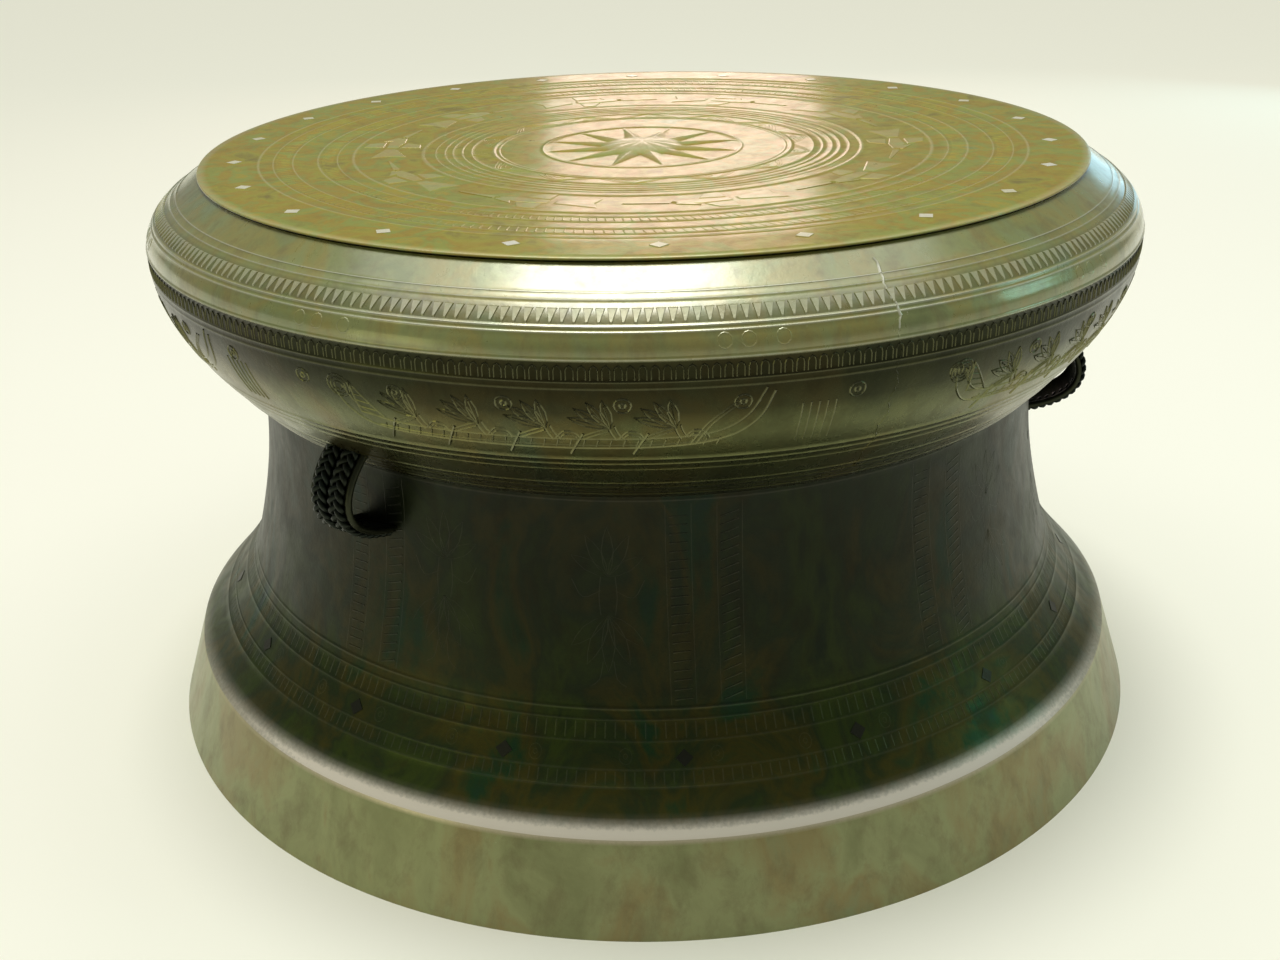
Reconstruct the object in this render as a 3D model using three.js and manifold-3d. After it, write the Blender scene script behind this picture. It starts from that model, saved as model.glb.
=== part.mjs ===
// A ritual bronze drum in the early southern style: a flat tympanum with a star in relief, a swelling chest,
// a drawn-in waist, a flared skirt and a foot that is open underneath, and four plaited strap ears.
// Millimetres, +Z up. The origin is on the ground at the drum's axis. The mould seams lie towards -Y and +Y,
// and the ears stand in two pairs, one towards -X and one towards +X.
import * as THREE from "three";
import { mergeVertices } from "three/addons/utils/BufferGeometryUtils.js";
import Module from "manifold-3d";

const wasm = await Module();
wasm.setup();

// How high each stretch of the drum stands, from the ground up.
const FOOT_HEIGHT = 54;
const SKIRT_RISE = 58;
const WAIST_RISE = 122;
const CHEST_RISE = 96;
const SHOULDER_RISE = 34;
const FACE_THICKNESS = 4;

// Outer radii where the stretches meet.
const FOOT_RADIUS = 339;
const FOOT_TOP_RADIUS = 321;
const SKIRT_TOP_RADIUS = 277;
const WAIST_RADIUS = 259;
const NECK_LIP = 7.5;
const CHEST_RADIUS = 316.5;
const SEAT_RADIUS = 280.5;
const FACE_OVERHANG = 1.5;

const WALL = 3.5;
const FOOT_RIM_THICKNESS = 6;
const FOOT_RIM_HEIGHT = 8;

// How far each stretch of the wall holds the direction that it starts with.
const SHOULDER_BEND = 15;
const CHEST_SWELL = 3.5;
const CHEST_BEND = 32;
const NECK_FLARE = 33;
const WAIST_DRAW = 3;
const WAIST_BEND = 54;
const SKIRT_BEND = 24;
const SKIRT_FLARE = 10;

// The face sinks gently from its rim towards the star.
const DISH_DEPTH = 4.5;
const DISH_RIM = 32;
const FACE_EDGE_ROUND = 1;

const STAR_RAYS = 12;
const STAR_TURN = -11;
const STAR_RADIUS = 61;
const STAR_NOTCH_RADIUS = 27;
const STAR_HEIGHT = 5;
const STAR_TIP_HEIGHT = 0.8;

// Raised rings round the star, from the middle outwards.
const RING_RADII = [65, 97, 141, 188, 245];
const RING_WIDTH = 2.4;
const RING_HEIGHT = 0.9;

// Fins left on the mantle where the two halves of the mould met.
const SEAM_WIDTH = 2.4;
const SEAM_HEIGHT = 0.9;

// The ears: straps that bow from under the chest to the waist, 30 degrees either side of each pair's middle.
const EAR_HALF_SPREAD = 30;
const EAR_WIDTH = 31;
const EAR_ROOT_RISE = 16;
const EAR_ROOT_DEPTH = 12;
const EAR_UPPER_REACH = 28.5;
const EAR_UPPER_DROP = 2;
const EAR_LOWER_REACH = 49;
const EAR_LOWER_DROP = 36;
const EAR_FOOT_DROP = 42;
const EAR_JOINT_GAP = 0.3;
const STRAP_THICKNESS = 5;
const BORDER_THICKNESS = 8.5;
const BORDER_WIDTH = 4;

// Two plaits of three strands lie side by side on each strap.
const PLAITS = 2;
const PLAIT_STRANDS = 3;
const PLAIT_TURNS = 3;
const PLAIT_WEAVE = 1;
const STRAND_RADIUS = 2.4;

// Square bronze plates that held the mould's core off its outer halves, now fixed in the wall. Each ring's
// first one stands a few degrees from the front, towards the right.
const SPACER_SIDE = 7;
const SPACER_GAP = 0.3;
const SPACER_PROUD = 0.3;
const FACE_SPACERS = 22;
const FACE_SPACER_INSET = 22;
const FACE_SPACER_TURN = 11.5;
const SKIRT_SPACERS = 18;
const SKIRT_SPACER_RISE = 33;
const SKIRT_SPACER_TURN = 0.4;

const ROUND_STEPS = 48;
const SHOULDER_STEPS = 4;
const CHEST_STEPS = 6;
const WAIST_STEPS = 4;
const SKIRT_STEPS = 3;
const DISH_STEPS = 2;
const DOME_STEPS = 3;
const STRAP_STEPS = 9;
const STRAND_STEPS = 15;
const HALVINGS = 30;
const WELD = 1e-4;

const DEGREE = Math.PI / 180;
const QUARTER_TURN = Math.PI / 2;
const FULL_TURN = 2 * Math.PI;
const SKIRT_HEIGHT = FOOT_HEIGHT + SKIRT_RISE;
const NECK_HEIGHT = SKIRT_HEIGHT + WAIST_RISE;
const CHEST_HEIGHT = NECK_HEIGHT + CHEST_RISE;
const SEAT_HEIGHT = CHEST_HEIGHT + SHOULDER_RISE;
const DRUM_HEIGHT = SEAT_HEIGHT + FACE_THICKNESS;
const NECK_RADIUS = WAIST_RADIUS + NECK_LIP;
const FACE_RADIUS = SEAT_RADIUS + FACE_OVERHANG;

function bronze(name, color, roughness) {
  const material = new THREE.MeshStandardMaterial({ color, roughness, metalness: 0.9 });
  material.name = name;
  return material;
}

const faceBronze = bronze("face_bronze", 0x8a8340, 0.4);
const mantleBronze = bronze("mantle_bronze", 0x4a4a28, 0.45);
const earBronze = bronze("ear_bronze", 0x2c3028, 0.5);
const spacerBronze = bronze("spacer_bronze", 0xa8a578, 0.5);

// Doubled corners are merged, so that a closed geometry can be joined or cut.
function toSolid(geometry) {
  geometry.deleteAttribute("normal");
  geometry.deleteAttribute("uv");
  const merged = mergeVertices(geometry, WELD);
  const mesh = new wasm.Mesh({
    numProp: 3,
    vertProperties: new Float32Array(merged.attributes.position.array),
    triVerts: new Uint32Array(merged.index.array),
  });
  return new wasm.Manifold(mesh);
}

function toGeometry(solid) {
  const mesh = solid.getMesh();
  const geometry = new THREE.BufferGeometry();
  geometry.setAttribute("position", new THREE.BufferAttribute(mesh.vertProperties, 3));
  geometry.setIndex(new THREE.BufferAttribute(mesh.triVerts, 1));
  geometry.computeVertexNormals();
  return geometry;
}

function point(radius, height) {
  return new THREE.Vector2(radius, height);
}

// A closed outline of (radius, height) points turned about the drum's axis.
function turned(outline) {
  const geometry = new THREE.LatheGeometry([...outline, outline[0]], ROUND_STEPS);
  geometry.rotateX(QUARTER_TURN);
  return toSolid(geometry);
}

// The five stretches of the mantle's outer line, each drawn from its lower end to its upper end.
const footLine = new THREE.LineCurve(point(FOOT_RADIUS, 0), point(FOOT_TOP_RADIUS, FOOT_HEIGHT));
const skirtLine = new THREE.QuadraticBezierCurve(
  point(FOOT_TOP_RADIUS, FOOT_HEIGHT),
  point(SKIRT_TOP_RADIUS + SKIRT_FLARE, SKIRT_HEIGHT - SKIRT_BEND),
  point(SKIRT_TOP_RADIUS, SKIRT_HEIGHT),
);
const waistLine = new THREE.QuadraticBezierCurve(
  point(SKIRT_TOP_RADIUS, SKIRT_HEIGHT),
  point(WAIST_RADIUS - WAIST_DRAW, NECK_HEIGHT - WAIST_BEND),
  point(WAIST_RADIUS, NECK_HEIGHT),
);
const chestLine = new THREE.CubicBezierCurve(
  point(NECK_RADIUS, NECK_HEIGHT),
  point(NECK_RADIUS + NECK_FLARE, NECK_HEIGHT + NECK_FLARE),
  point(CHEST_RADIUS + CHEST_SWELL, CHEST_HEIGHT - CHEST_BEND),
  point(CHEST_RADIUS, CHEST_HEIGHT),
);
const shoulderLine = new THREE.QuadraticBezierCurve(
  point(CHEST_RADIUS, CHEST_HEIGHT),
  point(CHEST_RADIUS, CHEST_HEIGHT + SHOULDER_BEND),
  point(SEAT_RADIUS, SEAT_HEIGHT),
);

// The place along a line where it passes a height.
function placeAt(line, height) {
  let low = 0;
  let high = 1;
  for (let i = 0; i < HALVINGS; i += 1) {
    const middle = (low + high) / 2;
    if (line.getPoint(middle).y < height) {
      low = middle;
    } else {
      high = middle;
    }
  }
  return low;
}

// A point level with the line's own point and off to its outer side by a distance square to the line.
function offLine(line, t, distance) {
  const at = line.getPoint(t);
  return point(at.x + distance / line.getTangent(t).y, at.y);
}

// The wall along a line, level at both ends. The lower end's inner radius may be given by what it meets.
function wallRing(line, steps, lowerInner = offLine(line, 0, -WALL).x) {
  const outline = [];
  for (let i = 0; i <= steps; i += 1) {
    outline.push(line.getPoint(i / steps));
  }
  for (let i = steps; i > 0; i -= 1) {
    outline.push(offLine(line, i / steps, -WALL));
  }
  outline.push(point(lowerInner, line.getPoint(0).y));
  return turned(outline);
}

// The mould seams on one stretch of the wall: a low fin in front and one behind.
function seamFins(line, steps) {
  const crest = [];
  const back = [];
  for (let i = 0; i <= steps; i += 1) {
    const at = line.getPoint(i / steps);
    crest.push(point(at.x + SEAM_HEIGHT, at.y));
    back.unshift(point(at.x - WALL / 2, at.y));
  }
  const fin = new THREE.Shape([...crest, ...back]);
  const upright = new THREE.ExtrudeGeometry(fin, { depth: SEAM_WIDTH, bevelEnabled: false });
  upright.translate(0, 0, -SEAM_WIDTH / 2);
  upright.rotateX(QUARTER_TURN);
  const front = toSolid(upright.clone().rotateZ(-QUARTER_TURN));
  return front.add(toSolid(upright.clone().rotateZ(QUARTER_TURN)));
}

// One stretch of the mantle: its wall with the mould seams.
function mantleStretch(line, steps, lowerInner) {
  return wallRing(line, steps, lowerInner).add(seamFins(line, steps));
}

// A square plate standing on its corner, right through a wall, turned to its place in a ring.
function spacerPlate(side, depth, at, lean, turn) {
  const plate = new THREE.BoxGeometry(depth, side, side);
  plate.rotateX(QUARTER_TURN / 2);
  plate.rotateY(lean);
  plate.translate(at.x, 0, at.y);
  plate.rotateZ(turn);
  return toSolid(plate);
}

function spacerRing(count, firstTurn, at, lean, side, depth) {
  const plates = [];
  for (let i = 0; i < count; i += 1) {
    const turn = firstTurn * DEGREE + (i / count) * FULL_TURN - QUARTER_TURN;
    plates.push(spacerPlate(side, depth, at, lean, turn));
  }
  return plates;
}

// The skirt's spacers lean as its wall leans there.
function skirtSpacers(side, depth) {
  const t = placeAt(skirtLine, FOOT_HEIGHT + SKIRT_SPACER_RISE);
  const outer = skirtLine.getPoint(t);
  const along = skirtLine.getTangent(t);
  const middle = point(outer.x - (along.y * WALL) / 2, outer.y + (along.x * WALL) / 2);
  const lean = Math.atan2(along.x, along.y);
  return spacerRing(SKIRT_SPACERS, SKIRT_SPACER_TURN, middle, lean, side, depth);
}

function faceSpacers(side, depth) {
  const middle = point(FACE_RADIUS - FACE_SPACER_INSET, SEAT_HEIGHT + FACE_THICKNESS / 2);
  return spacerRing(FACE_SPACERS, FACE_SPACER_TURN, middle, QUARTER_TURN, side, depth);
}

const SPACER_DEPTH = WALL + 2 * SPACER_PROUD;
const FACE_SPACER_DEPTH = FACE_THICKNESS + 2 * SPACER_PROUD;
const POCKET_SIDE = SPACER_SIDE + 2 * SPACER_GAP;
const POCKET_DEPTH = 2 * SPACER_DEPTH;

function cutAll(solid, cutters) {
  return cutters.reduce((rest, cutter) => rest.subtract(cutter), solid);
}

function joinAll(solid, pieces) {
  return pieces.reduce((whole, piece) => whole.add(piece), solid);
}

// The height of the face's upper side at a radius.
function faceLevel(radius) {
  const share = radius / (FACE_RADIUS - DISH_RIM);
  return DRUM_HEIGHT - DISH_DEPTH * Math.max(0, 1 - share * share);
}

// The star's outline, with a tip and a notch for each ray.
function starShape() {
  const corners = [];
  for (let i = 0; i < 2 * STAR_RAYS; i += 1) {
    const radius = i % 2 === 0 ? STAR_RADIUS : STAR_NOTCH_RADIUS;
    const angle = (i / (2 * STAR_RAYS)) * FULL_TURN - QUARTER_TURN + STAR_TURN * DEGREE;
    corners.push(new THREE.Vector2(radius * Math.cos(angle), radius * Math.sin(angle)));
  }
  return new THREE.Shape(corners);
}

// The star stands on the face. A dome over its hub lowers the rays towards their tips.
function makeStar() {
  const base = faceLevel(0) - FACE_THICKNESS / 2;
  const depth = FACE_THICKNESS + 2 * STAR_HEIGHT;
  const prism = new THREE.ExtrudeGeometry(starShape(), { depth, bevelEnabled: false });
  prism.translate(0, 0, base);
  const crown = faceLevel(0) + STAR_HEIGHT;
  const domeLine = new THREE.QuadraticBezierCurve(
    point(STAR_RADIUS, faceLevel(STAR_RADIUS) + STAR_TIP_HEIGHT),
    point(STAR_NOTCH_RADIUS, crown),
    point(0, crown),
  );
  const dome = turned([point(0, base), point(STAR_RADIUS, base), ...domeLine.getPoints(DOME_STEPS)]);
  return toSolid(prism).intersect(dome);
}

// The flat sounding face, dished a little, with its rings, its star and the pockets of its spacers.
function makeTympanum() {
  const outline = [];
  for (let i = 0; i <= DISH_STEPS; i += 1) {
    const radius = (i / DISH_STEPS) * (FACE_RADIUS - DISH_RIM);
    outline.push(point(radius, faceLevel(radius) - FACE_THICKNESS));
  }
  outline.push(point(FACE_RADIUS, SEAT_HEIGHT));
  outline.push(point(FACE_RADIUS, DRUM_HEIGHT - FACE_EDGE_ROUND));
  outline.push(point(FACE_RADIUS - FACE_EDGE_ROUND, DRUM_HEIGHT));
  [...RING_RADII].reverse().forEach((radius) => {
    outline.push(point(radius + RING_WIDTH / 2, faceLevel(radius + RING_WIDTH / 2)));
    outline.push(point(radius, faceLevel(radius) + RING_HEIGHT));
    outline.push(point(radius - RING_WIDTH / 2, faceLevel(radius - RING_WIDTH / 2)));
  });
  outline.push(point(0, faceLevel(0)));
  return cutAll(turned(outline).add(makeStar()), faceSpacers(POCKET_SIDE, POCKET_DEPTH));
}

// The steep plain foot, with a thicker rim on the ground.
function makeFoot() {
  return turned([
    footLine.getPoint(0),
    footLine.getPoint(1),
    offLine(skirtLine, 0, -WALL),
    offLine(footLine, placeAt(footLine, FOOT_RIM_HEIGHT), -FOOT_RIM_THICKNESS),
    offLine(footLine, 0, -FOOT_RIM_THICKNESS),
  ]);
}

// The middle line of an ear on the +X side, from inside the chest's wall to inside the waist's.
const earRootHeight = NECK_HEIGHT + EAR_ROOT_RISE;
const earFootHeight = NECK_HEIGHT - EAR_FOOT_DROP;
const earRoot = chestLine.getPoint(placeAt(chestLine, earRootHeight));
const earFoot = waistLine.getPoint(placeAt(waistLine, earFootHeight));
const earLine = new THREE.CubicBezierCurve3(
  new THREE.Vector3(earRoot.x - EAR_ROOT_DEPTH, 0, earRootHeight),
  new THREE.Vector3(NECK_RADIUS + EAR_UPPER_REACH, 0, NECK_HEIGHT - EAR_UPPER_DROP),
  new THREE.Vector3(WAIST_RADIUS + EAR_LOWER_REACH, 0, NECK_HEIGHT - EAR_LOWER_DROP),
  new THREE.Vector3(earFoot.x - EAR_ROOT_DEPTH, 0, earFootHeight),
);

// The direction straight out of the strap's face at a place along it.
function strapOut(t) {
  const along = earLine.getTangent(t);
  return new THREE.Vector3(-along.z, 0, along.x);
}

// One strand of a plait: it swings from side to side, over and under its neighbours, down the strap.
class PlaitStrand extends THREE.Curve {
  constructor(middle, swing, phase) {
    super();
    this.middle = middle;
    this.swing = swing;
    this.phase = phase;
  }

  getPoint(t, target = new THREE.Vector3()) {
    const turn = FULL_TURN * (PLAIT_TURNS * t + this.phase);
    const lift = STRAP_THICKNESS / 2 + PLAIT_WEAVE * Math.sin(2 * turn);
    target.copy(earLine.getPoint(t)).addScaledVector(strapOut(t), lift);
    target.y += this.middle + this.swing * Math.sin(turn);
    return target;
  }

  // The strand's section keeps its back to the strap.
  computeFrenetFrames(steps) {
    const frames = { tangents: [], normals: [], binormals: [] };
    for (let i = 0; i <= steps; i += 1) {
      const t = this.getUtoTmapping(i / steps);
      const along = this.getTangent(t);
      const across = strapOut(t).cross(along).normalize();
      frames.tangents.push(along);
      frames.normals.push(across);
      frames.binormals.push(along.clone().cross(across));
    }
    return frames;
  }
}

// The strap's section: a flat band between two thicker borders.
function strapSection() {
  const side = EAR_WIDTH / 2;
  const ridge = side - BORDER_WIDTH / 2;
  const inner = side - BORDER_WIDTH;
  const section = new THREE.Shape();
  section.moveTo(inner, STRAP_THICKNESS / 2);
  section.lineTo(-inner, STRAP_THICKNESS / 2);
  section.lineTo(-ridge, BORDER_THICKNESS / 2);
  section.lineTo(-side, 0);
  section.lineTo(-ridge, -BORDER_THICKNESS / 2);
  section.lineTo(-inner, -STRAP_THICKNESS / 2);
  section.lineTo(inner, -STRAP_THICKNESS / 2);
  section.lineTo(ridge, -BORDER_THICKNESS / 2);
  section.lineTo(side, 0);
  section.lineTo(ridge, BORDER_THICKNESS / 2);
  section.closePath();
  return section;
}

// A strand's section: a ridge whose flat back is sunk in the strap.
function strandSection() {
  const section = new THREE.Shape();
  section.moveTo(STRAND_RADIUS, -STRAND_RADIUS);
  section.lineTo(0, STRAND_RADIUS);
  section.lineTo(-STRAND_RADIUS, -STRAND_RADIUS);
  section.closePath();
  return section;
}

// The strap and the strands of one ear, before they are turned to the ear's place and joined.
function earPieces() {
  const pieces = [new THREE.ExtrudeGeometry(strapSection(), { steps: STRAP_STEPS, extrudePath: earLine })];
  const plaitWidth = (EAR_WIDTH - 2 * BORDER_WIDTH) / PLAITS;
  const swing = plaitWidth / 2 - STRAND_RADIUS;
  for (let plait = 0; plait < PLAITS; plait += 1) {
    const middle = (plait - (PLAITS - 1) / 2) * plaitWidth;
    for (let i = 0; i < PLAIT_STRANDS; i += 1) {
      const path = new PlaitStrand(middle, swing, i / PLAIT_STRANDS);
      pieces.push(new THREE.ExtrudeGeometry(strandSection(), { steps: STRAND_STEPS, extrudePath: path }));
    }
  }
  return pieces;
}

// What the ears are cut back to: the chest and the waist, filled in to the axis and grown by the joint's gap.
function earStop() {
  const outline = [point(0, SKIRT_HEIGHT), offLine(waistLine, 0, EAR_JOINT_GAP)];
  for (let i = 1; i < WAIST_STEPS; i += 1) {
    outline.push(offLine(waistLine, i / WAIST_STEPS, EAR_JOINT_GAP));
  }
  outline.push(point(WAIST_RADIUS + EAR_JOINT_GAP, NECK_HEIGHT - EAR_JOINT_GAP));
  outline.push(point(NECK_RADIUS + EAR_JOINT_GAP, NECK_HEIGHT - EAR_JOINT_GAP));
  for (let i = 1; i <= CHEST_STEPS; i += 1) {
    outline.push(offLine(chestLine, i / CHEST_STEPS, EAR_JOINT_GAP));
  }
  outline.push(point(0, CHEST_HEIGHT));
  return turned(outline);
}

const drum = new THREE.Group();

function place(name, solid, material) {
  const mesh = new THREE.Mesh(toGeometry(solid), material);
  mesh.name = name;
  drum.add(mesh);
}

function placeSpacers(name, plates) {
  plates.forEach((plate, i) => {
    place(`${name}_${String(i + 1).padStart(2, "0")}`, plate, spacerBronze);
  });
}

place("tympanum", makeTympanum(), faceBronze);
placeSpacers("face_spacer", faceSpacers(SPACER_SIDE, FACE_SPACER_DEPTH));

place("shoulder", mantleStretch(shoulderLine, SHOULDER_STEPS), mantleBronze);

// Inside, the chest's lower edge meets the waist's upper edge.
const waistTopInner = offLine(waistLine, 1, -WALL).x;
place("chest", mantleStretch(chestLine, CHEST_STEPS, waistTopInner), mantleBronze);

place("waist", mantleStretch(waistLine, WAIST_STEPS), mantleBronze);

const skirtPockets = skirtSpacers(POCKET_SIDE, POCKET_DEPTH);
place("skirt", cutAll(mantleStretch(skirtLine, SKIRT_STEPS), skirtPockets), mantleBronze);
placeSpacers("skirt_spacer", skirtSpacers(SPACER_SIDE, SPACER_DEPTH));

place("foot", makeFoot(), mantleBronze);

// Each ear's turn is counted from +X, anticlockwise seen from above.
const EARS = {
  ear_right_front: -EAR_HALF_SPREAD * DEGREE,
  ear_right_rear: EAR_HALF_SPREAD * DEGREE,
  ear_left_rear: Math.PI - EAR_HALF_SPREAD * DEGREE,
  ear_left_front: Math.PI + EAR_HALF_SPREAD * DEGREE,
};
const stop = earStop();
Object.entries(EARS).forEach(([name, turn]) => {
  const [strap, ...strands] = earPieces().map((piece) => toSolid(piece.rotateZ(turn)));
  place(name, joinAll(strap, strands).subtract(stop), earBronze);
});

export default drum;
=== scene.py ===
import math

import bpy
from mathutils import Matrix, Vector
from mathutils.bvhtree import BVHTree


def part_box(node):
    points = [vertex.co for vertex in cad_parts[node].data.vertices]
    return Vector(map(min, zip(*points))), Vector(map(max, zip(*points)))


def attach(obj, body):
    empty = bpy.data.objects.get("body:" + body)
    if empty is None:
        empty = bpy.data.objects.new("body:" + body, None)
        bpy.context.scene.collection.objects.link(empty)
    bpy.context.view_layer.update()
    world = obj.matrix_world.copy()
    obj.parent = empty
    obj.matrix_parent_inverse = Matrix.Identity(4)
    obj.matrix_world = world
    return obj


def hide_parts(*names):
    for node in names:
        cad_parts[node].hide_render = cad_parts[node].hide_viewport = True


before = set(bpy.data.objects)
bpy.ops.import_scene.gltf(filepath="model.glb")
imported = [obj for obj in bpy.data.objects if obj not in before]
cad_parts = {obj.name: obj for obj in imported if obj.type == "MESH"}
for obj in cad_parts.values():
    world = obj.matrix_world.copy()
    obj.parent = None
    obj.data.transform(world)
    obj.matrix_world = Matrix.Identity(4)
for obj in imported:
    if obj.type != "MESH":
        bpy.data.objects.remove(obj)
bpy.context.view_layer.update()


# The camera stands to the left of the drum's front, a little above its face, and looks down on it.
CAMERA_TURN = math.radians(-22.8)
CAMERA_BACK = 0.961
CAMERA_HEIGHT = 0.5586
CAMERA_TILT = math.radians(24.35)
CAMERA_ROLL = math.radians(-1.35)
CAMERA_YAW = math.radians(0.4)
CAMERA_LENS = 41.03
CAMERA_SENSOR = 36.0
CAMERA_NEAREST = 0.01

backwards = Vector((math.sin(CAMERA_TURN), -math.cos(CAMERA_TURN), 0.0))
camera = bpy.data.objects.new("camera", bpy.data.cameras.new("camera"))
bpy.context.scene.collection.objects.link(camera)
camera.data.lens = CAMERA_LENS
camera.data.sensor_width = CAMERA_SENSOR
camera.data.clip_start = CAMERA_NEAREST
stand = Matrix.Translation(backwards * CAMERA_BACK + Vector((0.0, 0.0, CAMERA_HEIGHT)))
facing = Matrix.Rotation(CAMERA_TURN + CAMERA_YAW, 4, "Z")
tilt = Matrix.Rotation(math.pi / 2 - CAMERA_TILT, 4, "X")
roll = Matrix.Rotation(CAMERA_ROLL, 4, "Z")
camera.matrix_world = stand @ facing @ tilt @ roll
bpy.context.scene.camera = camera


# The mantle: shoulder, chest, waist, skirt and foot are one pour of tin bronze about 3.5 mm thick, cast
# upside down in a two-part clay mould round a core. Its outline is read from the frame, and each raised
# thread line that the mould's makers cut round it is a low ridge in that outline.
MM = 0.001
MANTLE_NODES = ("foot", "skirt", "waist", "chest", "shoulder")
MANTLE_STEPS = 288
OUTLINE_STEP = 3.2 * MM
CORNER_ROUND = 0.7 * MM
CORNER_MOST = 0.4
CORNER_TURN = math.radians(35)
SHARP_TURN = math.radians(55)
PROBE_TURN = math.radians(7.5)
PROBE_SLACK = math.radians(0.2)
PROBE_LIFT = 0.3 * MM

# Each thread line: how high it runs, how wide it is and how far it stands out, in millimetres.
MANTLE_THREADS = (
    (355.0, 1.5, 0.3),
    (352.4, 1.2, 0.2),
    (342.6, 1.8, 0.55),
    (340.4, 1.4, 0.3),
    (328.0, 1.8, 0.8),
    (317.2, 1.4, 0.3),
    (313.6, 1.6, 0.2),
    (269.0, 1.8, 0.25),
    (265.0, 1.8, 0.2),
    (260.5, 1.4, 0.15),
    (248.5, 1.6, 0.25),
    (244.5, 1.8, 0.2),
    (240.5, 1.4, 0.15),
    (237.8, 1.8, 0.3),
    (228.5, 1.6, 0.15),
    (110.0, 1.8, 0.2),
    (104.5, 1.6, 0.15),
    (94.5, 1.6, 0.15),
    (82.0, 1.6, 0.15),
    (74.5, 1.8, 0.2),
)

# A thread's rounded section from one edge to the other, as shares of its half width and of its height, how
# many of its widths are kept clear on each side, and how bare hands have rubbed the threads above each
# height.
THREAD_SECTION = ((-1, 0), (-0.45, 0.75), (0, 1), (0.45, 0.75), (1, 0))
THREAD_CLEAR = 0.6
RUBBED_ABOVE = ((326.0, 0.4), (234.0, 0.15), (0.0, 0.02))


def wall_sides(node):
    """The outer and the inner outline of one stretch of the wall, as (radius, height), from the bottom up."""
    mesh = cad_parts[node].data
    tree = BVHTree.FromPolygons([v.co for v in mesh.vertices], [tuple(p.vertices) for p in mesh.polygons])
    low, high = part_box(node)
    outwards = Vector((math.cos(PROBE_TURN), math.sin(PROBE_TURN), 0.0))
    outer, inner = {}, {}
    for vertex in mesh.vertices:
        if vertex.co.x < 0 or abs(math.atan2(vertex.co.y, vertex.co.x) - PROBE_TURN) > PROBE_SLACK:
            continue
        radius = math.hypot(vertex.co.x, vertex.co.y)
        height = min(max(vertex.co.z, low.z + PROBE_LIFT), high.z - PROBE_LIFT)
        start = outwards * (radius + 2 * PROBE_LIFT) + Vector((0.0, 0.0, height))
        side = outer if tree.ray_cast(start, outwards)[0] is None else inner
        side[round(vertex.co.z, 5)] = Vector((radius, vertex.co.z))
    return [outer[key] for key in sorted(outer)], [inner[key] for key in sorted(inner)]


def flowing(points, step):
    """Points about a step apart along a smooth curve through the given ones."""
    line = [points[0]]
    for i in range(len(points) - 1):
        here, there = points[i], points[i + 1]
        before = points[i - 1] if i else here * 2 - there
        after = points[i + 2] if i + 2 < len(points) else there * 2 - here
        parts = max(1, math.ceil((there - here).length / step))
        for k in range(1, parts + 1):
            t = k / parts
            bend = (there - before) * t + (before * 2 - here * 5 + there * 4 - after) * t * t
            bend += (here * 3 - before - there * 3 + after) * t**3
            line.append(here + bend / 2)
    return line


outer_sides, inner_sides = {}, {}
for node_name in MANTLE_NODES:
    outer_sides[node_name], inner_sides[node_name] = wall_sides(node_name)

wall_outline = []
for run in (("foot",), ("skirt", "waist"), ("chest", "shoulder")):
    run_points = []
    for node_name in run:
        side = outer_sides[node_name]
        run_points += [p for p in side if not run_points or (p - run_points[-1]).length > MM]
    wall_outline += [p for p in flowing(run_points, OUTLINE_STEP) if p not in wall_outline]

# Right under the face's rim the shoulder rises into a low lip, so that only a thin dark joint is left open.
LIP_FOOT = 355.5 * MM
LIP_RISE = 1.3 * MM
LIP_BACK = 1.5 * MM
seat = wall_outline[-1].copy()
for point in wall_outline:
    share = max(0.0, (point.y - LIP_FOOT) / (seat.y - LIP_FOOT))
    point.y += LIP_RISE * share * share * (3 - 2 * share)


def wall_at(height):
    """The wall's radius at a height, and which way is straight out of it there, as (radius, height) pairs."""
    for here, there in zip(wall_outline, wall_outline[1:]):
        if here.y <= height <= there.y and there.y > here.y:
            along = (there - here).normalized()
            share = (height - here.y) / (there.y - here.y)
            return here.x + (there.x - here.x) * share, Vector((along.y, -along.x))
    raise ValueError(f"no wall at {height}")


def rounded(points):
    """The same line with its hard corners turned into two small ones."""
    line = [points[0]]
    for before, here, after in zip(points, points[1:], points[2:]):
        into, out = here - before, after - here
        if into.length and out.length and into.angle(out) > CORNER_TURN:
            line.append(here - into * min(CORNER_MOST, CORNER_ROUND / into.length))
            line.append(here + out * min(CORNER_MOST, CORNER_ROUND / out.length))
        else:
            line.append(here)
    return line + [points[-1]]


def rubbed_at(height):
    """How much of a thread's crest hands have rubbed bare at a height."""
    return next(worn for low, worn in RUBBED_ABOVE if height > low * MM)


def threaded(points, threads):
    """The line with a rounded ridge at each thread's height, and how worn each point is, from 0 to 1."""
    marks = {}
    for height, width, lift in threads:
        radius, straight_out = wall_at(height * MM)
        along = Vector((-straight_out.y, straight_out.x))
        for share, rise in THREAD_SECTION:
            place = Vector((radius, height * MM)) + along * share * width * MM / 2
            marks[place.y] = (place + straight_out * rise * lift * MM, rise * rubbed_at(height * MM))
    spans = [(h * MM - w * MM * THREAD_CLEAR, h * MM + w * MM * THREAD_CLEAR) for h, w, _ in threads]
    line = [(p, 0.0) for p in points if not any(low < p.y < high for low, high in spans)]
    for key in marks:
        after = next(i for i, (p, _) in enumerate(line) if p.y > key)
        line.insert(after, marks[key])
    return line


def at_turn(radius, turn, height):
    """A point at a radius and a height. Turns go from the drum's front towards its right."""
    return radius * math.sin(turn), -radius * math.cos(turn), height


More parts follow.
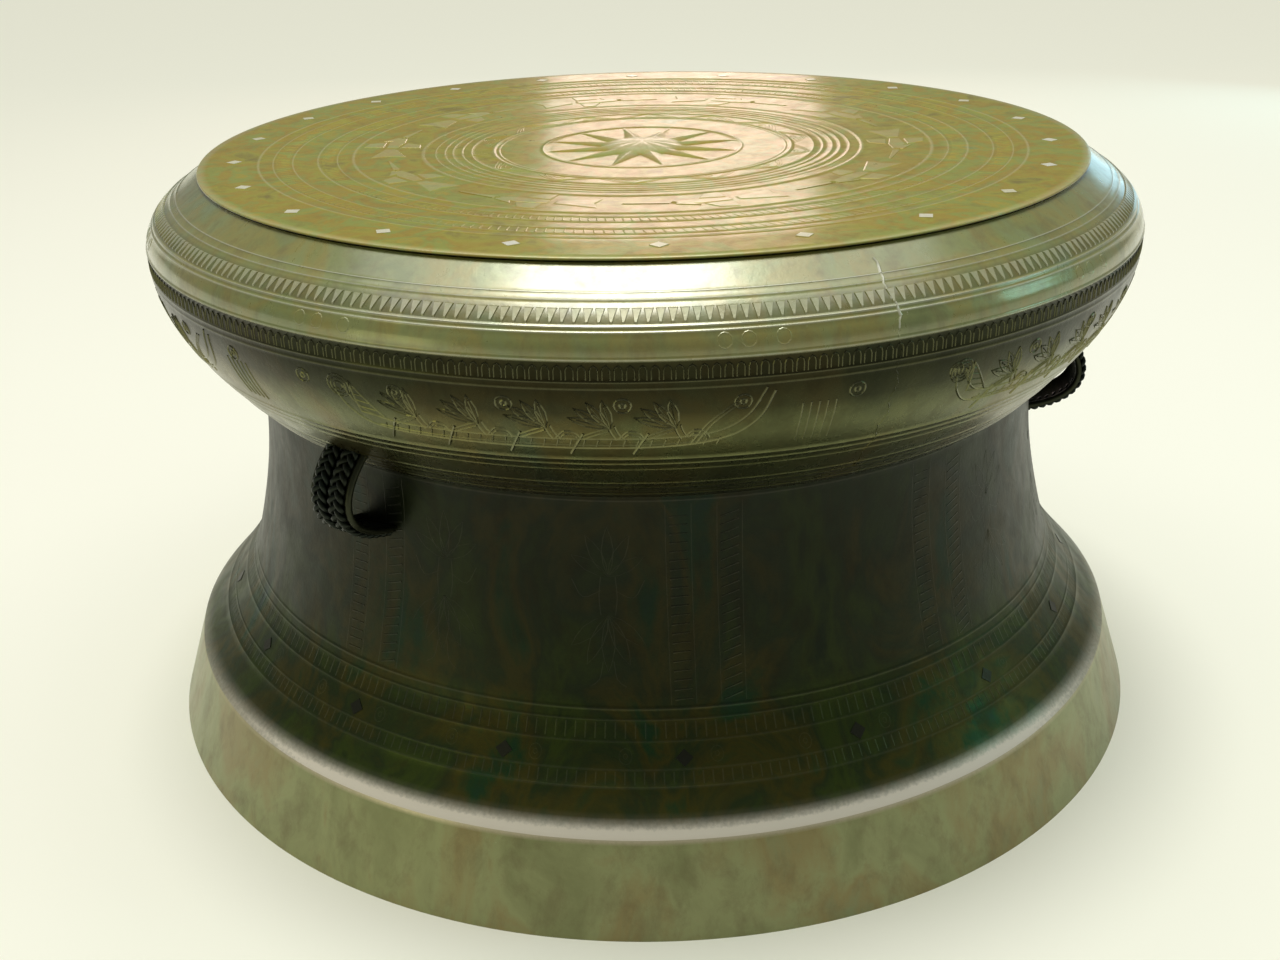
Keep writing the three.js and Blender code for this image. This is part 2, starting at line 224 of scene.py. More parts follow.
def band_faces(rows, steps, closed):
    """The faces between rows of as many points each; closed joins the last row to the first."""
    faces = []
    for i in range(rows if closed else rows - 1):
        low, high = i * steps, (i + 1) % rows * steps
        for k in range(steps):
            after = (k + 1) % steps
            faces.append((low + k, low + after, high + after, high + k))
    return faces


def colour(hex_value):
    """An sRGB hex value as a linear colour."""
    channels = [((hex_value >> shift) & 255) / 255 for shift in (16, 8, 0)]
    linear = [c / 12.92 if c <= 0.04045 else ((c + 0.055) / 1.055) ** 2.4 for c in channels]
    return (*linear, 1.0)


def add_node(tree, kind, links=(), values=(), **settings):
    """A node with its settings, its inputs' values by name, and links as (output socket, input name)."""
    node = tree.nodes.new(kind)
    for key, value in settings.items():
        setattr(node, key, value)
    for key, value in values:
        node.inputs[key].default_value = value
    for output, name in links:
        tree.links.new(output, node.inputs[name])
    return node


def set_stops(ramp, stops):
    """Gives a colour ramp its stops, as (position, hex colour)."""
    for element, (position, hex_value) in zip(ramp.elements, (stops[0], stops[-1])):
        element.position = position
        element.color = colour(hex_value)
    for position, hex_value in stops[1:-1]:
        ramp.elements.new(position).color = colour(hex_value)


# Dark where wear is below 0: painted shade in the rim's joint, a darker ground between comb strokes.
PAINTED_DARK = 0x16180E
PAINTED_DARK_MOST = 0.8
# Pale specks: partly chips of the patina, partly painted glints.
FLECK_AND_GLINT = 0xC8C8A2
COAT_ROUGHNESS = 0.16

# The patterns of the patina: the size of each in millimetres, then its detail, roughness and distortion. They
# are the blotches, the small chips, the grain of the cast skin and the slow swell of the surface. Clouds and
# blotches are a little taller than wide. The bumps give the grain's and the swell's strength and height.
CLOUD_PATTERN = (6.0, 0.58, 0.5)
PATINA_PATTERNS = {
    "blotch": (15.625, 8.0, 0.7, 0.3),
    "chip": (3.846, 3.0, 0.7, 0.0),
    "grain": (2.5, 3.0, 0.6, 0.0),
    "swell": (45.45, 2.0, 0.5, 0.0),
}
TALL_PATTERNS = ("cloud", "blotch")
TALL_SCALE = (1.0, 1.0, 0.6)
SWELL_BUMP = (0.3, 1.4 * MM)
GRAIN_BUMP = (0.25, 0.35 * MM)


def patinated_bronze(name, patina, stain, bare, metallic, roughness, patch=125.0, coat=0.0, stained=0.5,
                     flecks_and_glints=0.0, polish=0.5, bare_metallic=None, painted_shade_stops=()):
    """Cast tin bronze under a thin even patina, as centuries of handling and burial leave it.

    patina gives the colour stops over the cloudy patches, each about patch millimetres wide. stain is the
    brown or green of the smaller blotches, and stained how much of it shows. bare is the metal rubbed clear
    on the ridges, and on the skirt's flare it is a painted highlight. bare_metallic is how metallic that
    looks under old wax; at 0 the bare colour shows flat, as painted light. Where the wear is below 0 the
    patina is painted dark: painted shade in the joint under the face's rim, and a darker ground between the
    comb strokes. coat is how much of that wax still shines and polish how much the patina itself does,
    flecks_and_glints is how strong its few pale chips and painted glints show, and painted_shade_stops are
    painted shade that darkens the patina at heights in millimetres. It reads as a dull metal with an uneven
    gloss.
    """
    material = bpy.data.materials.new(name)
    material.use_nodes = True
    tree = material.node_tree
    shader = tree.nodes["Principled BSDF"]
    place = add_node(tree, "ShaderNodeTexCoord").outputs["Object"]
    tall = add_node(tree, "ShaderNodeMapping", [(place, "Vector")], [("Scale", TALL_SCALE)]).outputs["Vector"]
    patterns = {"cloud": (patch, *CLOUD_PATTERN), **PATINA_PATTERNS}
    marks = {"wear": add_node(tree, "ShaderNodeAttribute", attribute_name="wear").outputs["Fac"]}
    for pattern, (size, detail, rough, bent) in patterns.items():
        noise = add_node(
            tree,
            "ShaderNodeTexNoise",
            [(tall if pattern in TALL_PATTERNS else place, "Vector")],
            [("Scale", 1 / (size * MM)), ("Detail", detail), ("Roughness", rough), ("Distortion", bent)],
        )
        marks[pattern] = noise.outputs["Fac"]

    # Each share of the finish follows a mark from one of its values to another, and holds past them.
    for share, mark, first, last, least, most in (
        ("stain", "blotch", 0.48, 0.7, 0.0, stained),
        ("darkened", "wear", -1.0, 0.0, PAINTED_DARK_MOST, 0.0),
        ("fleck_and_glint", "chip", 0.73, 0.76, 0.0, flecks_and_glints),
        ("broken", "grain", 0.35, 0.65, 0.8, 1.05),
        ("gloss", "blotch", 0.3, 0.7, *roughness),
    ):
        spread = [("From Min", first), ("From Max", last), ("To Min", least), ("To Max", most)]
        mapped = add_node(tree, "ShaderNodeMapRange", [(marks[mark], "Value")], spread)
        marks[share] = mapped.outputs["Result"]
    # Rubbed metal on the crests; on the skirt's flare the same mark is a painted highlight.
    rubbed = add_node(tree, "ShaderNodeMath", [(marks["wear"], 0), (marks["broken"], 1)],
                      operation="MULTIPLY", use_clamp=True)
    marks["rubbed"] = rubbed.outputs["Value"]

    clouds = add_node(tree, "ShaderNodeValToRGB", [(marks["cloud"], "Fac")])
    set_stops(clouds.color_ramp, patina)
    blotched = add_node(tree, "ShaderNodeMix", [(marks["stain"], "Factor"), (clouds.outputs["Color"], 6)],
                        [(7, colour(stain))], data_type="RGBA")
    shown = blotched.outputs[2]
    # These stops darken the patina by height, as painted shade.
    if painted_shade_stops:
        bottom, top = painted_shade_stops[0][0], painted_shade_stops[-1][0]
        height = add_node(tree, "ShaderNodeSeparateXYZ", [(place, "Vector")]).outputs["Z"]
        climb = add_node(tree, "ShaderNodeMapRange", [(height, "Value")],
                         [("From Min", bottom * MM), ("From Max", top * MM)])
        shade = add_node(tree, "ShaderNodeValToRGB", [(climb.outputs["Result"], "Fac")])
        greys = [((at - bottom) / (top - bottom), round(255 * part) * 0x10101) for at, part in painted_shade_stops]
        set_stops(shade.color_ramp, greys)
        shaded = add_node(tree, "ShaderNodeMix", [(shown, 6), (shade.outputs["Color"], 7)], [("Factor", 1.0)],
                          data_type="RGBA", blend_type="MULTIPLY")
        shown = shaded.outputs[2]
    # Then the painted dark, the pale chips and painted glints, and the rubbed metal go over it.
    for mark, over in (("darkened", PAINTED_DARK), ("fleck_and_glint", FLECK_AND_GLINT), ("rubbed", bare)):
        layer = add_node(tree, "ShaderNodeMix", [(marks[mark], "Factor"), (shown, 6)], [(7, colour(over))],
                         data_type="RGBA")
        shown = layer.outputs[2]
    tree.links.new(shown, shader.inputs["Base Color"])
    tree.links.new(marks["gloss"], shader.inputs["Roughness"])

    strength, depth = SWELL_BUMP
    swell = add_node(tree, "ShaderNodeBump", [(marks["swell"], "Height")],
                     [("Strength", strength), ("Distance", depth)])
    strength, depth = GRAIN_BUMP
    skin = add_node(tree, "ShaderNodeBump", [(marks["grain"], "Height"), (swell.outputs["Normal"], "Normal")],
                    [("Strength", strength), ("Distance", depth)])
    tree.links.new(skin.outputs["Normal"], shader.inputs["Normal"])
    shader.inputs["Metallic"].default_value = metallic
    if bare_metallic is not None:
        metal = add_node(tree, "ShaderNodeMapRange", [(marks["rubbed"], "Value")],
                         [("To Min", metallic), ("To Max", bare_metallic)])
        tree.links.new(metal.outputs["Result"], shader.inputs["Metallic"])
    shader.inputs["Specular IOR Level"].default_value = polish
    shader.inputs["Coat Weight"].default_value = coat
    shader.inputs["Coat Roughness"].default_value = COAT_ROUGHNESS
    return material


def worn_piece(name, points, faces, wear):
    """A new object from points and faces, with how worn each point is as an attribute."""
    mesh = bpy.data.meshes.new(name)
    mesh.from_pydata(points, [], faces)
    mesh.attributes.new("wear", "FLOAT", "POINT").data.foreach_set("value", wear)
    piece = bpy.data.objects.new(name, mesh)
    bpy.context.scene.collection.objects.link(piece)
    return piece


def finish_piece(name, points, faces, wear, material, nodes=()):
    """A finished piece that rides with the drum: smooth but for its hard edges, and worn where wear says."""
    piece = worn_piece(name, points, faces, wear)
    piece.data.set_sharp_from_angle(angle=SHARP_TURN)
    piece.data.materials.append(material)
    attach(piece, "root")
    if nodes:
        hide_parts(*nodes)
    return piece


chest_bronze = patinated_bronze(
    "olive handled patina on the chest",
    ((0.3, 0x7C8648), (0.42, 0x909654), (0.52, 0x989044), (0.6, 0x8C924C), (0.7, 0x8A9862)),
    0x6A5E22,
    0xE8E8D0,
    0.2,
    (0.22, 0.46),
    patch=42.0,
    coat=1.0,
    stained=0.6,
    flecks_and_glints=0.7,
    polish=1.0,
)
# The chest's underside: its patina is darkened by height as painted shade under the chest's bulge.
under_bronze = patinated_bronze(
    "olive patina under the chest with painted shade",
    ((0.3, 0x5E6440), (0.45, 0x74784C), (0.56, 0x787042), (0.7, 0x667050)),
    0x4A4424,
    0x9C9C74,
    0.92,
    (0.22, 0.34),
    patch=70.0,
    painted_shade_stops=((234, 0.66), (244, 0.8), (262, 0.9), (284, 0.88), (300, 0.5), (313, 0.38), (328, 0.44)),
)
# A dark green patina, painted near black and darker towards the chest, as painted shade and dark reflections.
waist_bronze = patinated_bronze(
    "dark green patina on the waist with painted shade",
    ((0.3, 0x28381A), (0.4, 0x46561C), (0.48, 0x364420), (0.56, 0x54501A), (0.64, 0x2A4C26),
     (0.74, 0x24443A)),
    0x40380F,
    # The bare colour, shown with no metal, is the painted highlight on the skirt's flare.
    0xFFF6E0,
    0.65,
    (0.34, 0.5),
    patch=52.0,
    stained=0.5,
    polish=0.4,
    bare_metallic=0.0,
    painted_shade_stops=((54, 0.95), (100, 0.88), (118, 0.62), (170, 0.5), (238, 0.44)),
)
foot_bronze = patinated_bronze(
    "olive brown patina on the foot",
    ((0.32, 0x8A8E5A), (0.46, 0x9EA26C), (0.58, 0x9A8E58), (0.7, 0x909666)),
    0x70623A,
    0xD8CCA8,
    0.3,
    (0.3, 0.42),
    patch=60.0,
    coat=0.2,
    stained=0.45,
    flecks_and_glints=0.25,
)

# A painted highlight lies on the edge where the skirt flares out over the foot, brightest on the side that
# faces the camera, and the ground between the comb strokes is painted darker. Heights are in millimetres,
# the first ones from the foot's top.
FLARE_HIGHLIGHT = ((-1.0, 0.0), (-0.2, 1.1), (0.3, 1.7), (2.5, 1.5), (5.5, 0.5), (9.0, 0.0))
FLARE_HIGHLIGHT_SIDE = math.radians(-20.0)
FLARE_HIGHLIGHT_LEAST = 0.1
FLARE_HIGHLIGHT_SPREAD = 1.25
FLARE_HIGHLIGHT_FADE = 3
DARKENED_BANDS = ((343.4, 350.2, -0.45), (318.0, 326.6, -0.35))


def mantle_wear_and_painted_light_at(height, worn):
    """How worn the mantle is at a height, from what its threads say: above 0 rubbed, below 0 painted darker.
    On the skirt's flare the wear is a painted highlight.
    """
    past = (height - FOOT_TOP) / MM
    for (low, first), (high, last) in zip(FLARE_HIGHLIGHT, FLARE_HIGHLIGHT[1:]):
        if low <= past <= high:
            return max(worn, first + (last - first) * (past - low) / (high - low))
    for low, high, darkened in DARKENED_BANDS:
        if low * MM < height < high * MM:
            return darkened
    return worn


NECK_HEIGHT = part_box("chest")[0].z
FOOT_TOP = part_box("foot")[1].z
CHEST_RIDGE = 328.0 * MM
# Below the chest's ridge the finishes carry painted shade and are darker than the patina above.
MANTLE_FINISHES = ((FOOT_TOP, foot_bronze), (NECK_HEIGHT, waist_bronze), (CHEST_RIDGE, under_bronze),
                   (math.inf, chest_bronze))


def finish_by_height(piece):
    """Gives each face of a piece on the mantle the finish that the mantle has at its height."""
    piece.data.materials.clear()
    for _, finish in MANTLE_FINISHES:
        piece.data.materials.append(finish)
    for polygon in piece.data.polygons:
        reached = [index for index, (top, _) in enumerate(MANTLE_FINISHES) if polygon.center.z <= top]
        polygon.material_index = reached[0]


outer_rows = threaded(rounded(wall_outline), MANTLE_THREADS)
outer_rows = [(p, mantle_wear_and_painted_light_at(p.y, worn)) for p, worn in outer_rows]
inner_rows = [(seat - Vector((LIP_BACK, 0.0)), 0.0)]
for node_name in reversed(MANTLE_NODES):
    inner_rows += [(p, 0.0) for p in reversed(inner_sides[node_name])]
mantle_rows = outer_rows + inner_rows
mantle_points, mantle_wear_and_painted_light = [], []
for p, worn in mantle_rows:
    on_flare = FLARE_HIGHLIGHT[0][0] < (p.y - FOOT_TOP) / MM < FLARE_HIGHLIGHT[-1][0]
    for k in range(MANTLE_STEPS):
        turn = math.tau * k / MANTLE_STEPS
        mantle_points.append(at_turn(p.x, turn, p.y))
        # On the flare the wear is a painted highlight, brightest on the side that faces the camera.
        rubbed = min(1.0, max(0.0, math.cos(turn - FLARE_HIGHLIGHT_SIDE)) * FLARE_HIGHLIGHT_SPREAD) ** FLARE_HIGHLIGHT_FADE
        mantle_wear_and_painted_light.append(worn * (FLARE_HIGHLIGHT_LEAST + (1 - FLARE_HIGHLIGHT_LEAST) * rubbed) if on_flare else worn)
mantle_faces = band_faces(len(mantle_rows), MANTLE_STEPS, closed=True)
mantle = finish_piece("mantle", mantle_points, mantle_faces, mantle_wear_and_painted_light, chest_bronze,
                      MANTLE_NODES)
finish_by_height(mantle)


def on_wall(turn, height):
    """A place on the mantle and the way straight out of it."""
    radius, straight_out = wall_at(height)
    outwards = Vector((math.sin(turn), -math.cos(turn), 0.0))
    normal = outwards * straight_out.x + Vector((0.0, 0.0, straight_out.y))
    return outwards * radius + Vector((0.0, 0.0, height)), normal


# The mould seams: where the mould's two halves met, a low fin of bronze runs down the front and the rear of
# the chest. It was filed down in short lengths, so it stands up in uneven chunks, and on the shoulder it is
# rubbed bright.
RIDGE_SUNK = 0.12 * MM
SEAM_ENDS = (245.0, 361.0)
SEAM_CHUNK = 5.5
SEAM_PARTS = (0.0, 0.35, 0.7, 1.0)
SEAM_BEAT = 2.3
SEAM_TAPER = (1.3, 0.6)
# How worn, how thick and how proud the seam is: the least of each, and how much an uneven chunk has more.
SEAM_BRIGHT = ((0.7, 0.6), (1.3, 1.2), (0.35, 0.5))
SEAM_DULL = ((0.05, 0.0), (1.0, 0.0), (0.25, 0.0))
# How far the seam wanders to each side, and how fast, in radians.
SEAM_DRIFTS = ((0.0035, 1.9), (0.0015, 7.1))


class Relief:
    """Low ridges laid on a surface: closed bars and plates, sunk a little, and worn along their crests."""

    def __init__(self, place, worn=1.0):
        self.place = place
        self.worn = worn
        self.points, self.faces, self.wear = [], [], []

    def ridge(self, path, width, height, closed=False):
        """A bar along a path of (across, up) places; width is one value, or the first and the last."""
        spots = [self.place(*p) for p in path]
        first, last = width if isinstance(width, tuple) else (width, width)
        start, count = len(self.points), len(spots)
        for i, (spot, normal) in enumerate(spots):
            before = spots[i - 1][0] if i or closed else spot
            after = spots[(i + 1) % count][0] if i + 1 < count or closed else spot
            side = normal.cross(after - before).normalized()
            half = (first + (last - first) * i / max(1, count - 1)) / 2
            self.points.append(spot + side * half - normal * RIDGE_SUNK)
            self.points.append(spot - side * half - normal * RIDGE_SUNK)
            self.points.append(spot + normal * height)
            self.wear += [0.0, 0.0, self.worn]
        for i in range(count if closed else count - 1):
            left, right, crest = (start + 3 * i + k for k in range(3))
            ahead = start + 3 * ((i + 1) % count)
            self.faces.append((left, crest, ahead + 2, ahead))
            self.faces.append((crest, right, ahead + 1, ahead + 2))
            self.faces.append((right, left, ahead, ahead + 1))
        if not closed:
            end = start + 3 * (count - 1)
            self.faces += [(start, start + 1, start + 2), (end, end + 2, end + 1)]

    def plate(self, corners, height, top_share):
        """A flat-topped plate over corners that run anticlockwise; its top is drawn in to a share of them."""
        middle = sum((Vector(c) for c in corners), Vector((0.0, 0.0))) / len(corners)
        start, count = len(self.points), len(corners)
        for corner in corners:
            spot, normal = self.place(*corner)
            self.points.append(spot - normal * RIDGE_SUNK)
            self.wear.append(0.0)
        for corner in corners:
            spot, normal = self.place(*middle.lerp(Vector(corner), top_share))
            self.points.append(spot + normal * height)
            self.wear.append(self.worn)
        for i in range(count):
            after = (i + 1) % count
            self.faces.append((start + i, start + after, start + count + after, start + count + i))
        self.faces.append(tuple(start + count + i for i in range(count)))
        self.faces.append(tuple(start + count - 1 - i for i in range(count)))

    def add(self, other):
        """Takes another relief's bars in."""
        start = len(self.points)
        self.points += other.points
        self.wear += other.wear
        self.faces += [tuple(start + k for k in face) for face in other.faces]


seams = Relief(on_wall)
for seam_turn in (0.0, math.pi):
    for k in range(int((SEAM_ENDS[1] - SEAM_ENDS[0]) / SEAM_CHUNK)):
        low = SEAM_ENDS[0] + k * SEAM_CHUNK
        uneven = 0.5 + 0.5 * math.sin(SEAM_BEAT * k)
        look = SEAM_BRIGHT if low * MM > CHEST_RIDGE else SEAM_DULL
        seams.worn, thick, proud = (least + more * uneven for least, more in look)
        width = thick * MM
        spots = []
        for t in SEAM_PARTS:
            drift = sum(sway * math.sin(beat * (k + t)) for sway, beat in SEAM_DRIFTS)
            spots.append((seam_turn + drift, (low + t * SEAM_CHUNK) * MM))
        seams.ridge(spots, (width, width * (SEAM_TAPER[0] - SEAM_TAPER[1] * uneven)), proud * MM)
seam_piece = finish_piece("mould_seams", seams.points, seams.faces, seams.wear, chest_bronze)
finish_by_height(seam_piece)


# The comb bands: short strokes cut in the mould side by side, all the way round the chest and the skirt.
# Round the shoulder they are wide at the top and pointed below, under the ridge they are arches, and on the
# skirt they are bars. They carry the traditional borders of the boats' frieze and of the dancers' panels.
COMB_COUNT = 334
COMB_RADIUS = 304.0
COMB_HEIGHTS = (343.8, 349.8)
COMB_WIDTHS = (1.2, 5.1)
COMB_LEAN = 0.6
COMB_PROUD = 0.6 * MM
COMB_TOP = 0.78
COMB_WEAR = 0.3
ARCH_COUNT = 342
ARCH_RADIUS = 316.0
ARCH = ((-1.9, 318.4), (-1.9, 323.2), (-1.3, 324.8), (0.0, 325.6), (1.3, 324.8), (1.9, 323.2), (1.9, 318.4))
ARCH_WIDTH = 1.1 * MM
ARCH_PROUD = 0.42 * MM
SKIRT_COMBS = (("skirt_comb_upper", 318, 95.8, 103.4), ("skirt_comb_lower", 346, 75.8, 81.2))
SKIRT_BAR_RADIUS = 300.0
SKIRT_BAR_WIDTH = 1.8 * MM
SKIRT_BAR_PROUD = 0.1 * MM
SKIRT_BAR_WEAR = 0.03


def geometry_tree(name, inputs, output):
    """A Geometry Nodes tree that gives one geometry, with what it is given through its named inputs."""
    tree = bpy.data.node_groups.new(name, "GeometryNodeTree")
    for label, kind in inputs:
        tree.interface.new_socket(label, in_out="INPUT", socket_type="NodeSocket" + kind)
    tree.interface.new_socket(output, in_out="OUTPUT", socket_type="NodeSocketGeometry")
    return tree, add_node(tree, "NodeGroupInput").outputs


def end_tree(tree, copies, finish, output):
    """Makes a tree's copies real, gives them their finish and hands them out."""
    real = add_node(tree, "GeometryNodeRealizeInstances", [(copies, "Geometry")])
    finished = add_node(tree, "GeometryNodeSetMaterial",
                        [(real.outputs["Geometry"], "Geometry"), (finish, "Material")])
    add_node(tree, "NodeGroupOutput", [(finished.outputs["Geometry"], output)])


def repeat_tree():
    """Copies a motif round the drum's axis."""
    inputs = (("Motif", "Geometry"), ("Copies", "Int"), ("First turn", "Float"), ("Step", "Float"),
              ("Finish", "Material"))
    tree, given = geometry_tree("repeat round the drum", inputs, "Ornament")
    seats = add_node(tree, "GeometryNodePoints", [(given["Copies"], "Count")])
    number = add_node(tree, "GeometryNodeInputIndex").outputs["Index"]
    turn = add_node(tree, "ShaderNodeMath", [(number, 0), (given["Step"], 1), (given["First turn"], 2)],
                    operation="MULTIPLY_ADD")
    spin = add_node(tree, "ShaderNodeCombineXYZ", [(turn.outputs["Value"], "Z")])
    seated = [(seats.outputs["Points"], "Points"), (given["Motif"], "Instance")]
    seated.append((spin.outputs["Vector"], "Rotation"))
    copies = add_node(tree, "GeometryNodeInstanceOnPoints", seated)
    end_tree(tree, copies.outputs["Instances"], given["Finish"], "Ornament")
    return tree


def run_tree(guide, tree, values):
    """What a tree makes of a guide object, with its named inputs, as a plain mesh."""
    modifier = guide.modifiers.new(tree.name, "NODES")
    modifier.node_group = tree
    sockets = {item.name: item.identifier for item in tree.interface.items_tree if item.in_out == "INPUT"}
    for label, value in values.items():
        modifier[sockets[label]] = value
    bpy.context.view_layer.update()
    mesh = bpy.data.meshes.new_from_object(guide.evaluated_get(bpy.context.evaluated_depsgraph_get()))
    guide.modifiers.remove(modifier)
    return mesh


repeat_round = repeat_tree()


def ornament(name, relief, copies, first_turn, material):
    """A relief motif repeated evenly round the drum, as one piece."""
    piece = worn_piece(name, relief.points, relief.faces, relief.wear)
    step = math.tau / copies
    inputs = {"Copies": copies, "First turn": first_turn, "Step": step, "Finish": material}
    piece.data = run_tree(piece, repeat_round, inputs)
    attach(piece, "root")


def on_ring(radius):
    """Places on the wall, from millimetres round it at a radius and millimetres above the ground."""
    def place(across, up):
        return on_wall(across / radius, up * MM)
    return place


comb_low, comb_high = COMB_HEIGHTS
narrow, wide = COMB_WIDTHS
comb = Relief(on_ring(COMB_RADIUS), COMB_WEAR)
comb_corners = [(-narrow / 2, comb_low), (narrow / 2, comb_low), (COMB_LEAN + wide / 2, comb_high),
                (COMB_LEAN - wide / 2, comb_high)]
comb.plate(comb_corners, COMB_PROUD, COMB_TOP)
ornament("chest_comb", comb, COMB_COUNT, 0.0, chest_bronze)
arch = Relief(on_ring(ARCH_RADIUS), COMB_WEAR)
arch.ridge(ARCH, ARCH_WIDTH, ARCH_PROUD)
ornament("chest_teeth", arch, ARCH_COUNT, 0.0, under_bronze)
for band_name, count, low, high in SKIRT_COMBS:
    bar = Relief(on_ring(SKIRT_BAR_RADIUS), SKIRT_BAR_WEAR)
    bar.ridge([(0.0, low), (0.0, (low + high) / 2), (0.0, high)], SKIRT_BAR_WIDTH, SKIRT_BAR_PROUD)
    ornament(band_name, bar, count, 0.0, waist_bronze)


# The boats: six long canoes with feathered rowers go round the underside of the chest, drawn in raised line.
# Each has a prow that curls into an eye, a hatched standard, five rowers and a stern that sweeps up. Its
# places are in millimetres round the drum and over its gunwale.
LINE_WIDTH = 1.5 * MM
LINE_HEIGHT = 0.5 * MM
BOATS = 6
BOAT_TURN = math.radians(-32.6)
BOAT_RADIUS = 300.0
BOAT_WEAR = 0.4
GUNWALE = 284.5
GUNWALE_LINE = ((-101.0, 19.0), (-96.0, 9.0), (-84.0, 2.0), (-60.0, 0.0), (0.0, -0.5), (60.0, 0.0),
                (84.0, 3.0), (98.0, 12.0), (106.0, 27.0))
KEEL_LINE = ((-107.0, 16.0), (-102.0, 5.0), (-90.0, -3.5), (-60.0, -6.0), (0.0, -6.8), (60.0, -6.0),
             (88.0, -1.5), (103.0, 9.0), (110.0, 25.0))
STANDARD = ((-97.0, 22.0), (-95.5, 4.0), (-82.0, 2.0), (-97.0, 22.0))
PROW_EYE = (-104.0, GUNWALE + 18.5)
PROW_EYE_RINGS = (6.6, 4.6, 2.4)
ROWERS = (-67.0, -34.5, -1.0, 29.5, 60.5)
FEATHER_ROOT = (4.0, 6.5)
FEATHER_TIPS = ((-15.5, 13.0), (-12.5, 18.5), (-6.5, 22.0), (1.0, 23.0))
FEATHER_WIDTH = 5.0
ROWER_BACK = (((3.0, 8.0), (4.5, 3.0), (6.5, -1.0)), ((6.0, 8.0), (7.5, 3.5), (10.0, 0.0)))
LEAF = ((0, 0), (0.25, 0.75), (0.55, 1), (0.8, 0.6), (1, 0), (0.8, -0.6), (0.55, -1), (0.25, -0.75))


def curve_through(points, step=2.0):
    """A smooth path through a few (across, up) points."""
    return [tuple(p) for p in flowing([Vector(p) for p in points], step)]


def straight_through(points, step=3.0):
    """Straight lines through (across, up) points, in short parts, so that a bar follows the wall."""
    path = []
    for here, there in zip(points, points[1:]):
        parts = max(1, round((Vector(there) - Vector(here)).length / step))
        path += [tuple(Vector(here).lerp(Vector(there), k / parts)) for k in range(parts)]
    return path + [tuple(points[-1])]


def leaf(base, tip, width):
    """The outline of a pointed leaf from its base to its tip."""
    start, along = Vector(base), Vector(tip) - Vector(base)
    side = Vector((-along.y, along.x)).normalized() * width / 2
    return [tuple(start + along * a + side * b) for a, b in LEAF]


def ring(centre, radius, parts=14):
    """A round path about a centre."""
    turns = [math.tau * k / parts for k in range(parts)]
    return [(centre[0] + radius * math.cos(t), centre[1] + radius * math.sin(t)) for t in turns]


on_frieze = on_ring(BOAT_RADIUS)
boat = Relief(on_frieze, BOAT_WEAR)


def boat_line(points, width=1.0, height=1.0, closed=False):
    """A raised line on the boat, with its width and height as shares of the usual ones."""
    boat.ridge([(u, GUNWALE + v) for u, v in points], LINE_WIDTH * width, LINE_HEIGHT * height, closed)


def rower(seat):
    """A rower: a crown of feathers over a bent back, arms that reach for the oar and folded legs."""
    def draw(points, width=1.0, closed=False):
        boat_line([(seat + u, v) for u, v in points], width, closed=closed)

    for tip in FEATHER_TIPS:
        draw(leaf(FEATHER_ROOT, tip, FEATHER_WIDTH), closed=True)
        far = Vector(FEATHER_ROOT).lerp(Vector(tip), 0.8)
        near = [root + (end - root) * 0.35 for root, end in zip(FEATHER_ROOT, far)]
        draw([near, far], 0.7)
    for edge in ROWER_BACK:
        draw(curve_through(edge))
    for drop in (0.0, 2.2):
        draw(curve_through([(3.0, 7.0 - drop), (-3.0, 4.5 - drop), (-9.5, 1.5 - drop)]))
        draw(curve_through([(8.0 + drop, 0.0), (12.5, 4.6 - drop), (17.5, 3.4 - drop), (20.0 - drop, -0.8)]))
    draw(straight_through([(-9.0, 3.0), (-16.5, -11.0)]), 1.4)


for edge in (GUNWALE_LINE, KEEL_LINE):
    boat_line(curve_through(edge, 3.0), 1.2)
inner_keel = [(u * 0.97, GUNWALE + v * 0.55 - 1.0) for u, v in curve_through(KEEL_LINE[2:7], 3.0)]
boat.ridge(inner_keel, LINE_WIDTH * 0.8, LINE_HEIGHT * 0.8)
for eye_radius in PROW_EYE_RINGS:
    boat.ridge(ring(PROW_EYE, eye_radius), LINE_WIDTH, LINE_HEIGHT, closed=True)
for place in range(-13, 14):
    hatch = place * 6.5
    boat_line([(hatch, -5.6), (hatch + 1.5, -1.2)], 0.8, 0.7)
boat_line(straight_through(STANDARD)[:-1], 1.2, closed=True)
for share in (0.2, 0.4, 0.6, 0.8):
    ends = [Vector(STANDARD[0]).lerp(Vector(foot), share) for foot in STANDARD[1:3]]
    boat_line(straight_through(ends), 0.8, 0.8)
for rower_seat in ROWERS:
    rower(rower_seat)
# A helmsman's oar at the stern, and a hatched panel that parts each boat from the next.
for offset in (0.0, 2.6):
    boat_line(curve_through([(72.0 + offset, -4.0), (80.0 + offset, 9.0), (93.0 + offset, 21.0)]))
for k in range(5):
    boat_line([(124.0 + 4.2 * k, v) for v in range(-8, 17, 3)], 0.8, 0.7)
ornament("boat_frieze", boat, BOATS, BOAT_TURN, under_bronze)


# The chest's spacers: small bronze plates that held the core off the mould's outer halves while the metal was
# poured. They stay in the wall, and show as round spots in a row over the boats. Above the chest's ridge,
# small circles are drawn in raised line.
SPOT_COUNT = 34
SPOT_TURN = math.radians(-25.0)
SPOT_HEIGHT = 304.5
SPOT_RADIUS = 4.0
SPOT_WEAR = 0.5
FRET_COUNT = 9
FRET_TURN = math.radians(-14.0)
FRET_HEIGHT = 336.0
FRET_PLACES = (-11.0, 0.0, 16.0)
FRET_RADIUS = 3.4

